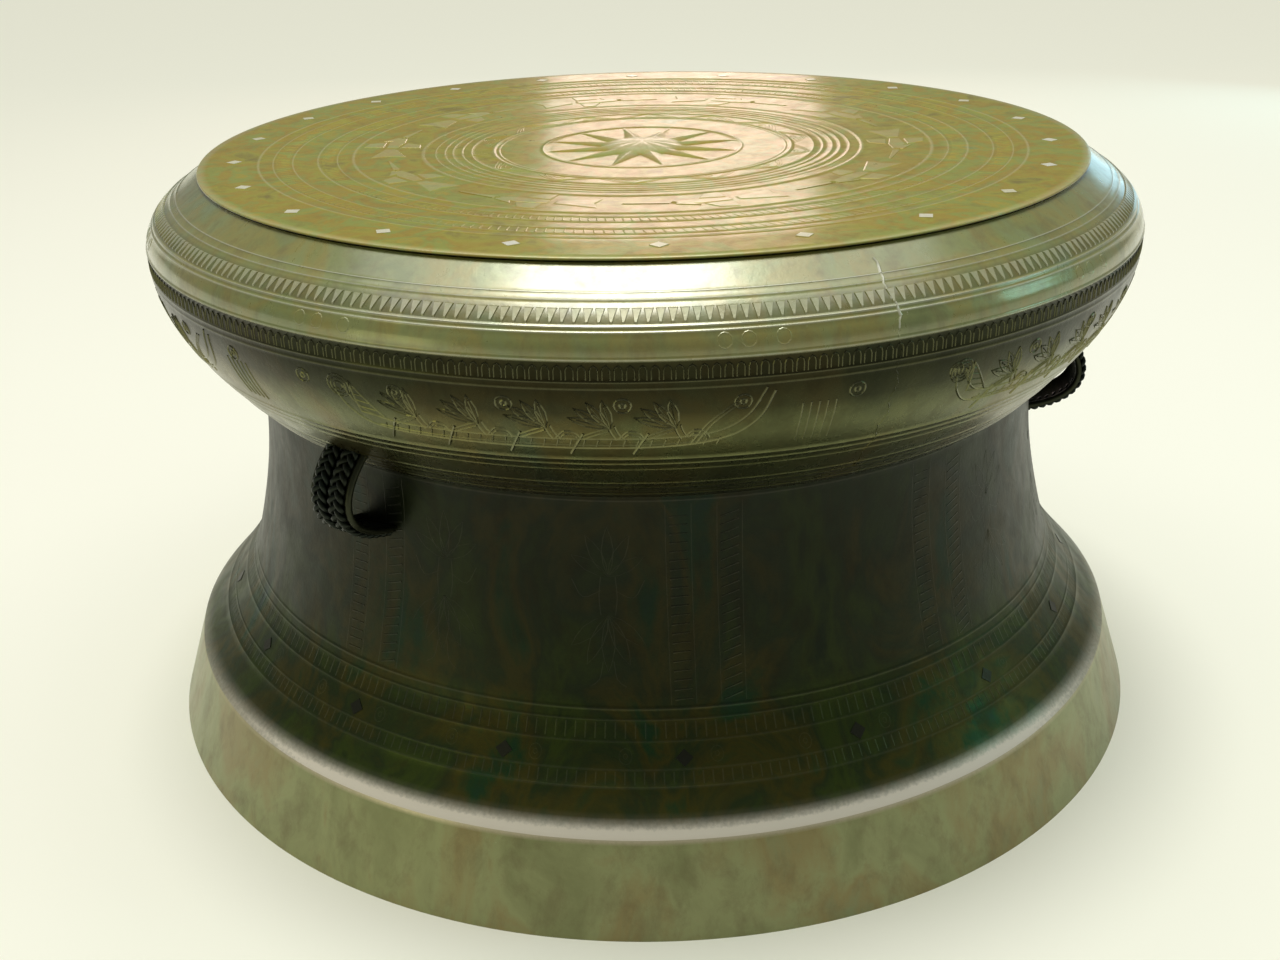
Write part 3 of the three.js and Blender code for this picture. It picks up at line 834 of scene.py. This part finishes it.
spot = Relief(on_frieze, SPOT_WEAR)
for radius, parts, width in ((SPOT_RADIUS, 14, LINE_WIDTH), (SPOT_RADIUS * 0.35, 8, LINE_WIDTH * 1.4)):
    spot.ridge(ring((0.0, SPOT_HEIGHT), radius, parts), width, LINE_HEIGHT, closed=True)
ornament("chest_spots", spot, SPOT_COUNT, SPOT_TURN, under_bronze)
fret = Relief(on_frieze, 0.0)
for across in FRET_PLACES:
    circle = ring((across, FRET_HEIGHT), FRET_RADIUS, 12)
    fret.ridge(circle, LINE_WIDTH * 0.8, LINE_HEIGHT * 0.3, closed=True)
ornament("chest_circles", fret, FRET_COUNT, FRET_TURN, chest_bronze)


# The waist's panels: eight columns of comb strokes between upright lines divide the waist, and feathered
# dancers stand in the wide panels between them, all in low raised line. Small circles go round the skirt
# below. Places are in millimetres, a dancer's from the dancer's foot.
COLUMN_TURNS = (-60.0, -16.6, 16.6, 60.0)
COLUMN_LOW = 112.0
COLUMN_HIGH = 226.0
COLUMN_PARTS = 19
COLUMN_LINES = (-20.0, -6.0, 8.0, 22.0)
COLUMN_PITCH = 5.2
COLUMN_PROUD = 0.17 * MM
STROKE_WIDE = 2.6 * MM
STROKE_NARROW = 1.4 * MM
WAIST_LINE = 0.045 * MM
WAIST_WEAR = 0.015
DANCER_TURNS = (-49.0, -28.0, 28.0, 49.0)
DANCER_FOOT = 122.0
SKIRT_CIRCLE_COUNT = 36
SKIRT_CIRCLE_TURN = math.radians(4.0)
SKIRT_CIRCLE_HEIGHT = 88.0
SKIRT_CIRCLE_RINGS = ((3.6, 12), (1.2, 8))

# A dancer's feathers, above and below, by where they grow from, how wide they are and where they end; then
# one side of the body, an arm and a leg.
DANCER_FEATHERS = (
    ((0.0, 62.0), 6.5, ((-20.0, 74.0), (-12.0, 86.0), (0.0, 91.0), (12.0, 86.0), (20.0, 74.0))),
    ((0.0, 40.0), 7.5, ((-21.0, 22.0), (-12.0, 12.0), (0.0, 8.0), (12.0, 12.0), (21.0, 22.0))),
)
DANCER_LIMBS = (
    ((4.0, 62.0), (5.0, 50.0), (4.0, 40.0)),
    ((4.0, 54.0), (14.0, 50.0), (20.0, 60.0)),
    ((3.0, 14.0), (5.0, 4.0), (10.0, 0.0)),
)


def on_panel(turn):
    """Places on the waist, from millimetres round it from a turn and millimetres above the ground."""
    def place(across, up):
        return on_wall(turn + across * MM / wall_at(up * MM)[0], up * MM)
    return place


columns = Relief(on_wall, WAIST_WEAR)
for column_turn in COLUMN_TURNS:
    column = Relief(on_panel(math.radians(column_turn)), WAIST_WEAR)
    heights = [COLUMN_LOW + (COLUMN_HIGH - COLUMN_LOW) * k / COLUMN_PARTS for k in range(COLUMN_PARTS + 1)]
    for across in COLUMN_LINES:
        column.ridge([(across, height) for height in heights], LINE_WIDTH * 0.8, WAIST_LINE)
    for k in range(int((COLUMN_HIGH - COLUMN_LOW) / COLUMN_PITCH)):
        height = COLUMN_LOW + (k + 0.5) * COLUMN_PITCH
        left, right = [(-18.0, height), (-8.0, height + 0.6)], [(10.0, height - 1.2), (20.0, height + 2.0)]
        column.ridge(left, (STROKE_WIDE, STROKE_NARROW), COLUMN_PROUD)
        column.ridge(right, (STROKE_NARROW, STROKE_WIDE), COLUMN_PROUD)
    columns.add(column)
ornament("waist_columns", columns, 2, 0.0, waist_bronze)

dancers = Relief(on_wall)
for dancer_turn in DANCER_TURNS:
    dancer = Relief(on_panel(math.radians(dancer_turn)), WAIST_WEAR)
    for root, width, tips in DANCER_FEATHERS:
        for tip in tips:
            feather = [(u, DANCER_FOOT + v) for u, v in leaf(root, tip, width)]
            dancer.ridge(feather, LINE_WIDTH * 0.9, WAIST_LINE, closed=True)
    for limb in DANCER_LIMBS:
        for side in (-1, 1):
            bent = curve_through([(side * u, v) for u, v in limb], 4.0)
            dancer.ridge([(u, DANCER_FOOT + v) for u, v in bent], LINE_WIDTH, WAIST_LINE)
    dancers.add(dancer)
ornament("waist_dancers", dancers, 2, 0.0, waist_bronze)

circles = Relief(on_panel(0.0), WAIST_WEAR)
for radius, parts in SKIRT_CIRCLE_RINGS:
    circles.ridge(ring((0.0, SKIRT_CIRCLE_HEIGHT), radius, parts), LINE_WIDTH, WAIST_LINE, closed=True)
ornament("skirt_circles", circles, SKIRT_CIRCLE_COUNT, SKIRT_CIRCLE_TURN, waist_bronze)


# The tympanum: the flat sounding face, cast with a raised twelve-rayed star and rings of ornament round it.
# It sinks a few millimetres towards the star, and its rim stands out past the shoulder over a dark open
# joint.
FACE_STEPS = 360
FACE_DISH = 4.5 * MM
FACE_DISH_RADIUS = 250.0 * MM
FACE_ROW_STEP = 4.0 * MM
FACE_EDGE = 0.6 * MM
RIM_THICKNESS = 1.7 * MM
RIM_SEAT = 6 * MM
RIM_BEVEL = 0.4 * MM
PLATE_THICKNESS = 4.0 * MM
STAR_RAYS = 12
STAR_TURN = math.radians(-11.0)
STAR_RADIUS = 61.0 * MM
STAR_NOTCH = 27.0 * MM
STAR_HUB_HEIGHT = 3.6 * MM
STAR_HUB_CURVE = 0.8
STAR_RAY_HEIGHT = 1.5 * MM
STAR_TIP_SHARE = 0.25
STAR_BLEND = 0.35
STAR_ROW_STEP = 1.25 * MM
STAR_WEAR = 0.4
STAR_WEAR_MOST = 0.6

# Each raised ring: its radius, width and height in millimetres. Wear has left a share of that height.
FACE_RINGS = (
    (65.0, 1.8, 0.45),
    (93.5, 1.4, 0.25),
    (97.0, 2.6, 0.6),
    (111.5, 1.4, 0.3),
    (117.5, 1.6, 0.35),
    (123.5, 1.4, 0.3),
    (128.5, 1.6, 0.35),
    (134.5, 1.2, 0.25),
    (142.5, 3.0, 0.5),
    (186.5, 2.6, 0.45),
    (196.5, 1.2, 0.25),
    (208.5, 1.8, 0.4),
    (224.0, 1.4, 0.3),
    (236.0, 1.2, 0.25),
    (245.0, 2.2, 0.45),
)
RING_LEFT = 0.6
RING_WEAR = 0.3

# The rim from its seat on the shoulder round to the face, as radius, height and wear: wear below 0 paints
# the rim's underside dark, as painted shade in the joint.
FACE_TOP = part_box("shoulder")[1].z + PLATE_THICKNESS
FACE_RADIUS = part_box("tympanum")[1].x
RIM_UNDER = FACE_TOP - RIM_THICKNESS
RIM_ROWS = (
    (FACE_RADIUS - RIM_SEAT, FACE_TOP - PLATE_THICKNESS, 0.0),
    (FACE_RADIUS - FACE_EDGE, RIM_UNDER, -1.0),
    (FACE_RADIUS, RIM_UNDER + RIM_BEVEL, -0.8),
    (FACE_RADIUS, FACE_TOP - FACE_EDGE, 0.3),
    (FACE_RADIUS - FACE_EDGE, FACE_TOP, 0.4),
)


def face_height(radius):
    """How high the plain face stands at a radius."""
    return FACE_TOP - FACE_DISH * max(0.0, 1 - (radius / FACE_DISH_RADIUS) ** 2)


def star_lift(radius, turn):
    """The star's height over the face: a smooth hub, and rays with a sharp crest that fall to their tips."""
    if radius >= STAR_RADIUS:
        return 0.0
    dome = STAR_HUB_HEIGHT * max(0.0, 1 - (radius / STAR_NOTCH) ** 2) ** STAR_HUB_CURVE
    pitch = math.tau / STAR_RAYS
    off = abs((turn - STAR_TURN + pitch / 2) % pitch - pitch / 2)
    reach = (STAR_RADIUS - radius) / (STAR_RADIUS - STAR_NOTCH)
    half = min(pitch / 2, pitch / 2 * reach * STAR_NOTCH / max(radius, MM))
    fall = min(1.0, radius / STAR_NOTCH)
    ray = STAR_RAY_HEIGHT * min(1.0, STAR_TIP_SHARE + reach) * max(0.0, 1 - off / max(half, 1e-6)) * fall
    return max(dome, ray) + STAR_BLEND * min(dome, ray)


face_radii = [STAR_ROW_STEP * k for k in range(1, int(STAR_RADIUS / STAR_ROW_STEP) + 1)]
plain_rows = range(int(STAR_RADIUS / FACE_ROW_STEP) + 1, int(FACE_RADIUS / FACE_ROW_STEP))
face_radii += [FACE_ROW_STEP * k for k in plain_rows]
spans = [((r - w * THREAD_CLEAR) * MM, (r + w * THREAD_CLEAR) * MM) for r, w, _ in FACE_RINGS]
face_line = [(r, 0.0, 0.0) for r in face_radii if not any(low < r < high for low, high in spans)]
for ring_radius, ring_width, ring_height in FACE_RINGS:
    for share, rise in THREAD_SECTION:
        radius = (ring_radius + share * ring_width / 2) * MM
        face_line.append((radius, rise * ring_height * RING_LEFT * MM, rise * RING_WEAR))
face_line.sort(reverse=True)
face_rows = [*RIM_ROWS] + [(r, face_height(r) + rise, worn) for r, rise, worn in face_line]
face_points, face_wear_and_shade = [], []
for radius, height, worn in face_rows:
    for k in range(FACE_STEPS):
        turn = math.tau * k / FACE_STEPS
        star = star_lift(radius, turn)
        face_points.append(at_turn(radius, turn, height + star))
        face_wear_and_shade.append(min(STAR_WEAR_MOST, worn + star / STAR_RAY_HEIGHT * STAR_WEAR))
face_faces = band_faces(len(face_rows), FACE_STEPS, closed=False)
pole = len(face_points)
face_points.append((0.0, 0.0, face_height(0.0) + STAR_HUB_HEIGHT))
face_points.append((0.0, 0.0, RIM_ROWS[0][1] - FACE_DISH))
face_wear_and_shade += [STAR_WEAR_MOST, 0.0]
last_row = pole - FACE_STEPS
for k in range(FACE_STEPS):
    after = (k + 1) % FACE_STEPS
    face_faces.append((last_row + k, last_row + after, pole))
    face_faces.append((after, k, pole + 1))
face_bronze = patinated_bronze(
    "ochre and olive patina on the cast face",
    ((0.3, 0x86781C), (0.4, 0xA49E22), (0.48, 0xA88E12), (0.56, 0x949E38), (0.64, 0xAE9A16),
     (0.74, 0x84A054)),
    0x7A6420,
    0xDED8A8,
    0.15,
    (0.26, 0.48),
    patch=34.0,
    coat=0.42,
    stained=0.55,
    flecks_and_glints=0.6,
)
finish_piece("tympanum_face", face_points, face_faces, face_wear_and_shade, face_bronze, ("tympanum",))


# The face's figures: a band of nested hooks, ten long-beaked herons that fly round the star, and two comb
# bands, all raised line that the makers cut in the mould. Places are in millimetres round a ring and out from
# it.
FACE_LINE_WIDTH = 1.2 * MM
FACE_LINE_HEIGHT = 0.15 * MM
FACE_LINE_WEAR = 0.12
FACE_COMBS = {"face_comb_inner": (276, 198.6, 206.2, 1.4), "face_comb_outer": (282, 226.0, 234.4, 1.6)}
HERONS = 10
HERON_TURN = math.radians(-11.0)
HERON_RADIUS = 164.5
HERON_PROUD = 0.3 * MM
HERON_TOP = 0.86
HERON_WEAR = 0.25
HERON_EYE = (-17.0, 0.0)
HERON_EYE_RADIUS = 1.6
HERON_EYE_PROUD = 0.15 * MM
HERON_PARTS = (
    ((18.0, -2.4), (47.0, -0.7), (47.0, 0.7), (18.0, 2.4)),
    ((7.0, 2.0), (17.0, 2.0), (17.0, 4.0), (3.0, 10.0)),
    ((-17.0, -3.4), (2.0, -5.6), (17.0, -2.6), (17.0, 2.6), (2.0, 5.6), (-17.0, 3.4)),
    ((-15.0, 5.2), (2.0, 6.6), (-4.0, 17.5), (-15.0, 19.0)),
    ((-15.0, -5.2), (-15.0, -19.0), (-4.0, -17.5), (2.0, -6.6)),
    ((-46.0, -12.0), (-18.5, -3.6), (-18.5, 3.6), (-46.0, 12.0), (-43.0, 0.0)),
)
HOOKS = 14
HOOK_RADIUS = 104.5
HOOK_CURL = ((-8.0, -5.2), (-2.0, -1.0), (2.5, -2.6), (0.5, -4.8), (-2.0, -3.6))


def on_face(turn, radius):
    """A place on the face and the way straight out of it."""
    slope = 2 * FACE_DISH * radius / FACE_DISH_RADIUS**2 if radius < FACE_DISH_RADIUS else 0.0
    normal = Vector((-slope * math.sin(turn), slope * math.cos(turn), 1.0)).normalized()
    return Vector(at_turn(radius, turn, face_height(radius))), normal


def on_face_band(middle):
    """Places on the face, from millimetres round a ring of that radius and millimetres out from it."""
    def place(across, out):
        return on_face(across / middle, (middle + out) * MM)
    return place


for band_name, (strokes, near, far, lean) in FACE_COMBS.items():
    stroke = Relief(on_face, FACE_LINE_WEAR)
    stroke.ridge([(0.0, near * MM), (lean / far, far * MM)], (STROKE_NARROW, STROKE_WIDE), FACE_LINE_HEIGHT)
    ornament(band_name, stroke, strokes, 0.0, face_bronze)

heron = Relief(on_face_band(HERON_RADIUS), HERON_WEAR)
for part in HERON_PARTS:
    heron.plate([(-u, v) for u, v in part], HERON_PROUD, HERON_TOP)
heron_eye = ring(HERON_EYE, HERON_EYE_RADIUS, 8)
heron.ridge(heron_eye, FACE_LINE_WIDTH * 0.8, HERON_PROUD + HERON_EYE_PROUD, closed=True)
ornament("face_herons", heron, HERONS, HERON_TURN, face_bronze)

hook = Relief(on_face_band(HOOK_RADIUS), FACE_LINE_WEAR)
for inset in (0.0, 3.0, 6.0):
    left, right = (-3.0 + inset * 0.2, 5.2), (21.0 - inset, -5.4 + inset * 0.2)
    chevron = ((-22.0 + inset, -5.6), left, (3.0, 5.2), right)
    nested = curve_through([(u, v - inset * 0.45) for u, v in chevron], 3.0)
    hook.ridge(nested, FACE_LINE_WIDTH, FACE_LINE_HEIGHT)
hook.ridge(curve_through(HOOK_CURL, 1.5), FACE_LINE_WIDTH, FACE_LINE_HEIGHT)
ornament("face_hooks", hook, HOOKS, 0.0, face_bronze)


# The spacers of the face and the skirt: small plates of bronze that held the mould's core, flush in the wall.
# Those of the face are rubbed paler than the metal round them, and those of the skirt are dark.
spacer_bronze = patinated_bronze(
    "rubbed bronze of the spacers",
    ((0.3, 0xD8D4A8), (0.5, 0xECE8C8), (0.7, 0xF0EEDC)),
    0xC8BE8C,
    0xF4F2E0,
    0.25,
    (0.3, 0.45),
    coat=0.3,
)
skirt_spacer_bronze = patinated_bronze(
    "dark bronze of the skirt's spacers",
    ((0.3, 0x2A2C20), (0.5, 0x34362A), (0.7, 0x3A3A2C)),
    0x2E2A18,
    0x6A6A48,
    0.8,
    (0.3, 0.45),
)
for node_name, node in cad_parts.items():
    if "spacer" in node_name:
        node.data.materials.clear()
        node.data.materials.append(skirt_spacer_bronze if node_name.startswith("skirt") else spacer_bronze)


# The ears: four straps cast on in two pairs, each of two plaits of three cords between corded edges. They bow
# out from under the chest and back to the waist, so that a rope can pass behind them.
EARS = {"ear_right_front": 60.0, "ear_right_rear": 120.0, "ear_left_rear": 240.0, "ear_left_front": 300.0}
NECK_RADIUS = outer_sides["chest"][0].x
WAIST_RADIUS = outer_sides["waist"][-1].x
STRAP_HALF_WIDTH = 13.6 * MM
STRAP_WEAR = 0.2
CORD_RADIUS = 2.1 * MM
CORD_PARTS = 8
STRAND_RADIUS = 1.75 * MM
STRAND_SIDES = 8
PLAITS = 2
PLAIT_STRANDS = 3
PLAIT_MIDDLE = 6.6 * MM
PLAIT_SWING = 4.2 * MM
PLAIT_WEAVE = 1.1 * MM
PLAIT_LIFT = 2.6 * MM
PLAIT_TURNS = 6.5
EAR_SECTIONS = 96

# The handles of the strap's middle line, from its upper root to its lower one, as radius and height; then the
# arc of each corded edge in degrees, with its side.
EAR_HANDLES = (
    (NECK_RADIUS + 2.0 * MM, NECK_HEIGHT + 16.0 * MM),
    (NECK_RADIUS + 28.5 * MM, NECK_HEIGHT - 2.0 * MM),
    (WAIST_RADIUS + 49.0 * MM, NECK_HEIGHT - 36.0 * MM),
    (WAIST_RADIUS - 12.0 * MM, NECK_HEIGHT - 42.0 * MM),
)
CORD_ARCS = ((1, 140, -140), (-1, 40, -220))


def ear_line(t):
    """A place on the strap's middle line, from its upper root at 0 to its lower one at 1."""
    a, b, c, d = (Vector((radius, 0.0, height)) for radius, height in EAR_HANDLES)
    return a * (1 - t) ** 3 + b * 3 * t * (1 - t) ** 2 + c * 3 * t * t * (1 - t) + d * t**3


def swept(path, section):
    """A closed bar along a path in the plane of X and Z; the section is (across, out of the strap)."""
    points, faces, count = [], [], len(section)
    for i, spot_on_path in enumerate(path):
        along = (path[min(i + 1, len(path) - 1)] - path[max(i - 1, 0)]).normalized()
        out = along.cross(Vector((0.0, 1.0, 0.0)))
        points += [spot_on_path + Vector((0.0, across, 0.0)) + out * up for across, up in section]
    for i in range(len(path) - 1):
        for k in range(count):
            after = (k + 1) % count
            faces.append((i * count + k, (i + 1) * count + k, (i + 1) * count + after, i * count + after))
    faces.append(tuple(range(count)))
    faces.append(tuple(reversed(range((len(path) - 1) * count, len(path) * count))))
    return points, faces


def plait_tree():
    """Lays the cords of two plaits along a strap's middle line, over and under each other."""
    inputs = (("Middle line", "Geometry"), ("Strand radius", "Float"), ("Plait middle", "Float"),
              ("Swing", "Float"), ("Weave", "Float"), ("Lift", "Float"), ("Turns", "Float"),
              ("Sections", "Int"), ("Finish", "Material"))
    tree, given = geometry_tree("plaits along a strap", inputs, "Plaits")
    line = add_node(tree, "GeometryNodeResampleCurve",
                    [(given["Middle line"], "Curve"), (given["Sections"], "Count")])
    strands = add_node(tree, "GeometryNodeDuplicateElements", [(line.outputs["Curve"], "Geometry")],
                       [("Amount", PLAITS * PLAIT_STRANDS)], domain="SPLINE")
    known = {label: given[label] for label, kind in inputs if kind == "Float"}
    known["number"] = strands.outputs["Duplicate Index"]
    known["along"] = add_node(tree, "GeometryNodeSplineParameter").outputs["Factor"]

    # Each row names a result, how it is worked out, and from what: numbers, or results by name.
    for result, operation, *sources in (
        ("share", "DIVIDE", "number", float(PLAIT_STRANDS)),
        ("plait", "FLOOR", "share"),
        ("phase", "MULTIPLY", "number", math.tau / PLAIT_STRANDS),
        ("turns so far", "MULTIPLY", "along", "Turns"),
        ("turned", "MULTIPLY", "turns so far", math.tau),
        ("plait twice", "MULTIPLY", "plait", 2.0),
        ("mirrored", "SUBTRACT", 1.0, "plait twice"),
        ("beat", "ADD", "turned", "phase"),
        ("wave", "SINE", "beat"),
        ("reach", "MULTIPLY", "Swing", "mirrored"),
        ("swing", "MULTIPLY", "wave", "reach"),
        ("middle", "MULTIPLY", "Plait middle", "mirrored"),
        ("across", "SUBTRACT", "swing", "middle"),
        ("beat twice", "MULTIPLY", "beat", 2.0),
        ("weave", "SINE", "beat twice"),
        ("woven", "MULTIPLY", "weave", "Weave"),
        ("out", "ADD", "woven", "Lift"),
    ):
        links = [(known[source], i) for i, source in enumerate(sources) if isinstance(source, str)]
        values = [(i, source) for i, source in enumerate(sources) if isinstance(source, float)]
        known[result] = add_node(tree, "ShaderNodeMath", links, values, operation=operation).outputs["Value"]

    tangent = add_node(tree, "GeometryNodeInputTangent").outputs["Tangent"]
    straight = add_node(tree, "ShaderNodeVectorMath", [(tangent, 0)], [(1, (0.0, 1.0, 0.0))],
                        operation="CROSS_PRODUCT")
    outward = add_node(tree, "ShaderNodeVectorMath",
                       [(straight.outputs["Vector"], 0), (known["out"], "Scale")], operation="SCALE")
    sideways = add_node(tree, "ShaderNodeCombineXYZ", [(known["across"], "Y")])
    shift = add_node(tree, "ShaderNodeVectorMath",
                     [(outward.outputs["Vector"], 0), (sideways.outputs["Vector"], 1)], operation="ADD")
    moved = add_node(tree, "GeometryNodeSetPosition",
                     [(strands.outputs["Geometry"], "Geometry"), (shift.outputs["Vector"], "Offset")])
    section = add_node(tree, "GeometryNodeCurvePrimitiveCircle", [(given["Strand radius"], "Radius")],
                       [("Resolution", STRAND_SIDES)])
    cords = add_node(tree, "GeometryNodeCurveToMesh",
                     [(moved.outputs["Geometry"], "Curve"), (section.outputs["Curve"], "Profile Curve")],
                     [("Fill Caps", True)])
    end_tree(tree, cords.outputs["Mesh"], given["Finish"], "Plaits")
    return tree


ear_bronze = patinated_bronze(
    "near black patina in the plaits",
    ((0.3, 0x101512), (0.5, 0x1A2019), (0.7, 0x23261A)),
    0x1D2A24,
    0x5C5C3C,
    0.8,
    (0.34, 0.52),
)
ear_path = [ear_line(k / EAR_SECTIONS) for k in range(EAR_SECTIONS + 1)]
strap_section = []
for side, first, last in CORD_ARCS:
    for k in range(CORD_PARTS + 1):
        angle = math.radians(first + (last - first) * k / CORD_PARTS)
        across = side * STRAP_HALF_WIDTH + CORD_RADIUS * math.cos(angle)
        strap_section.append((across, CORD_RADIUS * math.sin(angle)))
strap_points, strap_faces = swept(ear_path, strap_section)

middle_line = bpy.data.curves.new("strap middle line", "CURVE")
middle_line.dimensions = "3D"
spline = middle_line.splines.new("POLY")
spline.points.add(len(ear_path) - 1)
for spline_point, p in zip(spline.points, ear_path):
    spline_point.co = (*p, 1.0)
guide = bpy.data.objects.new("strap middle line", middle_line)
bpy.context.scene.collection.objects.link(guide)
plait_inputs = {"Strand radius": STRAND_RADIUS, "Plait middle": PLAIT_MIDDLE, "Swing": PLAIT_SWING,
                "Weave": PLAIT_WEAVE, "Lift": PLAIT_LIFT, "Turns": PLAIT_TURNS, "Sections": EAR_SECTIONS,
                "Finish": ear_bronze}
plait_mesh = run_tree(guide, plait_tree(), plait_inputs)
bpy.data.objects.remove(guide)

for ear_name, ear_turn in EARS.items():
    spin = Matrix.Rotation(math.radians(ear_turn) - math.pi / 2, 4, "Z")
    spun_points = [spin @ p for p in strap_points]
    finish_piece(ear_name + "_strap", spun_points, strap_faces, [STRAP_WEAR] * len(spun_points), ear_bronze,
                 (ear_name,))
    cord_mesh = plait_mesh.copy()
    cord_mesh.transform(spin)
    cords = bpy.data.objects.new(ear_name + "_plaits", cord_mesh)
    bpy.context.scene.collection.objects.link(cords)
    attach(cords, "root")
    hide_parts(ear_name)


# The table: a plain pale sheet under the drum, wide enough to fill the view. What the camera, metal and glass
# see of it is the cream board; other rays meet a dimmer sheet, so that it throws less light back at the drum.
FLOOR_HALF = 40.0
FLOOR_CREAM = 0xFDFCE8
FLOOR_BOUNCE = 0x8C8A7C
FLOOR_ROUGHNESS = 0.8
floor_mesh = bpy.data.meshes.new("floor")
floor_corners = [(x * FLOOR_HALF, y * FLOOR_HALF, 0.0) for x, y in ((-1, -1), (1, -1), (1, 1), (-1, 1))]
floor_mesh.from_pydata(floor_corners, [], [(0, 1, 2, 3)])
floor = bpy.data.objects.new("floor", floor_mesh)
bpy.context.scene.collection.objects.link(floor)
floor_finish = bpy.data.materials.new("cream display board")
floor_finish.use_nodes = True
floor_tree = floor_finish.node_tree
floor_shader = floor_tree.nodes["Principled BSDF"]
rays = add_node(floor_tree, "ShaderNodeLightPath").outputs
seen_rays = rays["Is Camera Ray"]
for ray in ("Is Glossy Ray", "Is Transmission Ray"):
    both = add_node(floor_tree, "ShaderNodeMath", [(seen_rays, 0), (rays[ray], 1)], operation="ADD",
                    use_clamp=True)
    seen_rays = both.outputs["Value"]
board = add_node(floor_tree, "ShaderNodeMix", [(seen_rays, "Factor")],
                 [(6, colour(FLOOR_BOUNCE)), (7, colour(FLOOR_CREAM))], data_type="RGBA")
floor_tree.links.new(board.outputs[2], floor_shader.inputs["Base Color"])
floor_shader.inputs["Roughness"].default_value = FLOOR_ROUGHNESS
floor.data.materials.append(floor_finish)


# The light: a soft sun and a broad panel overhead, a warm panel and a cool screen behind the drum, a pale
# wall in front of it on the left and a cool window on its right, over a dim grey world.
SUN_POWER = 1.9
SUN_SOFTNESS = math.radians(28.0)
SUN_LEAN = (math.radians(-4.0), math.radians(-3.0), CAMERA_TURN)
SUN_TINT = 0xFFFFFC
WORLD_POWER = 0.27
WORLD_TINT = 0xDADDDD

# Each lamp: metres right of, behind and above the drum's foot as the camera sees it, how high on the drum's
# axis it aims, its width and depth, its power and its colour.
LAMPS = {
    "ceiling panel": ((0.0, 0.15, 2.3), 0.36, (3.0, 1.1), 15.6, 0xF2F2FF),
    "warm panel": ((0.09, 2.5, 0.82), 0.36, (0.6, 0.43), 2.8, 0xFFE0D6),
    "cool screen": ((1.5, 2.2, 0.5), 0.36, (0.5, 0.5), 1.2, 0xB8ECFF),
    "pale wall": ((-1.7, -1.4, 0.5), 0.2, (0.7, 0.7), 2.2, 0xFFFCB4),
    "cool window": ((2.0, -0.2, 0.85), 0.25, (0.45, 0.45), 2.4, 0xA8E4DC),
}

case_light = bpy.data.objects.new("case light", bpy.data.lights.new("case light", "SUN"))
case_light.data.energy = SUN_POWER
case_light.data.angle = SUN_SOFTNESS
case_light.data.color = colour(SUN_TINT)[:3]
case_light.rotation_euler = SUN_LEAN
bpy.context.scene.collection.objects.link(case_light)
rightwards = Vector((math.cos(CAMERA_TURN), math.sin(CAMERA_TURN), 0.0))
for lamp_name, ((right, back, up), aim, (width, depth), power, tint) in LAMPS.items():
    lamp = bpy.data.objects.new(lamp_name, bpy.data.lights.new(lamp_name, "AREA"))
    lamp.data.shape = "RECTANGLE"
    lamp.data.size = width
    lamp.data.size_y = depth
    lamp.data.energy = power
    lamp.data.color = colour(tint)[:3]
    lamp.location = rightwards * right - backwards * back + Vector((0.0, 0.0, up))
    lamp.rotation_mode = "QUATERNION"
    lamp.rotation_quaternion = (Vector((0.0, 0.0, aim)) - lamp.location).to_track_quat("-Z", "Y")
    bpy.context.scene.collection.objects.link(lamp)
world = bpy.data.worlds.new("studio")
world.use_nodes = True
backdrop = world.node_tree.nodes["Background"]
backdrop.inputs["Color"].default_value = colour(WORLD_TINT)
backdrop.inputs["Strength"].default_value = WORLD_POWER
bpy.context.scene.world = world
bpy.context.scene.view_settings.view_transform = "Standard"
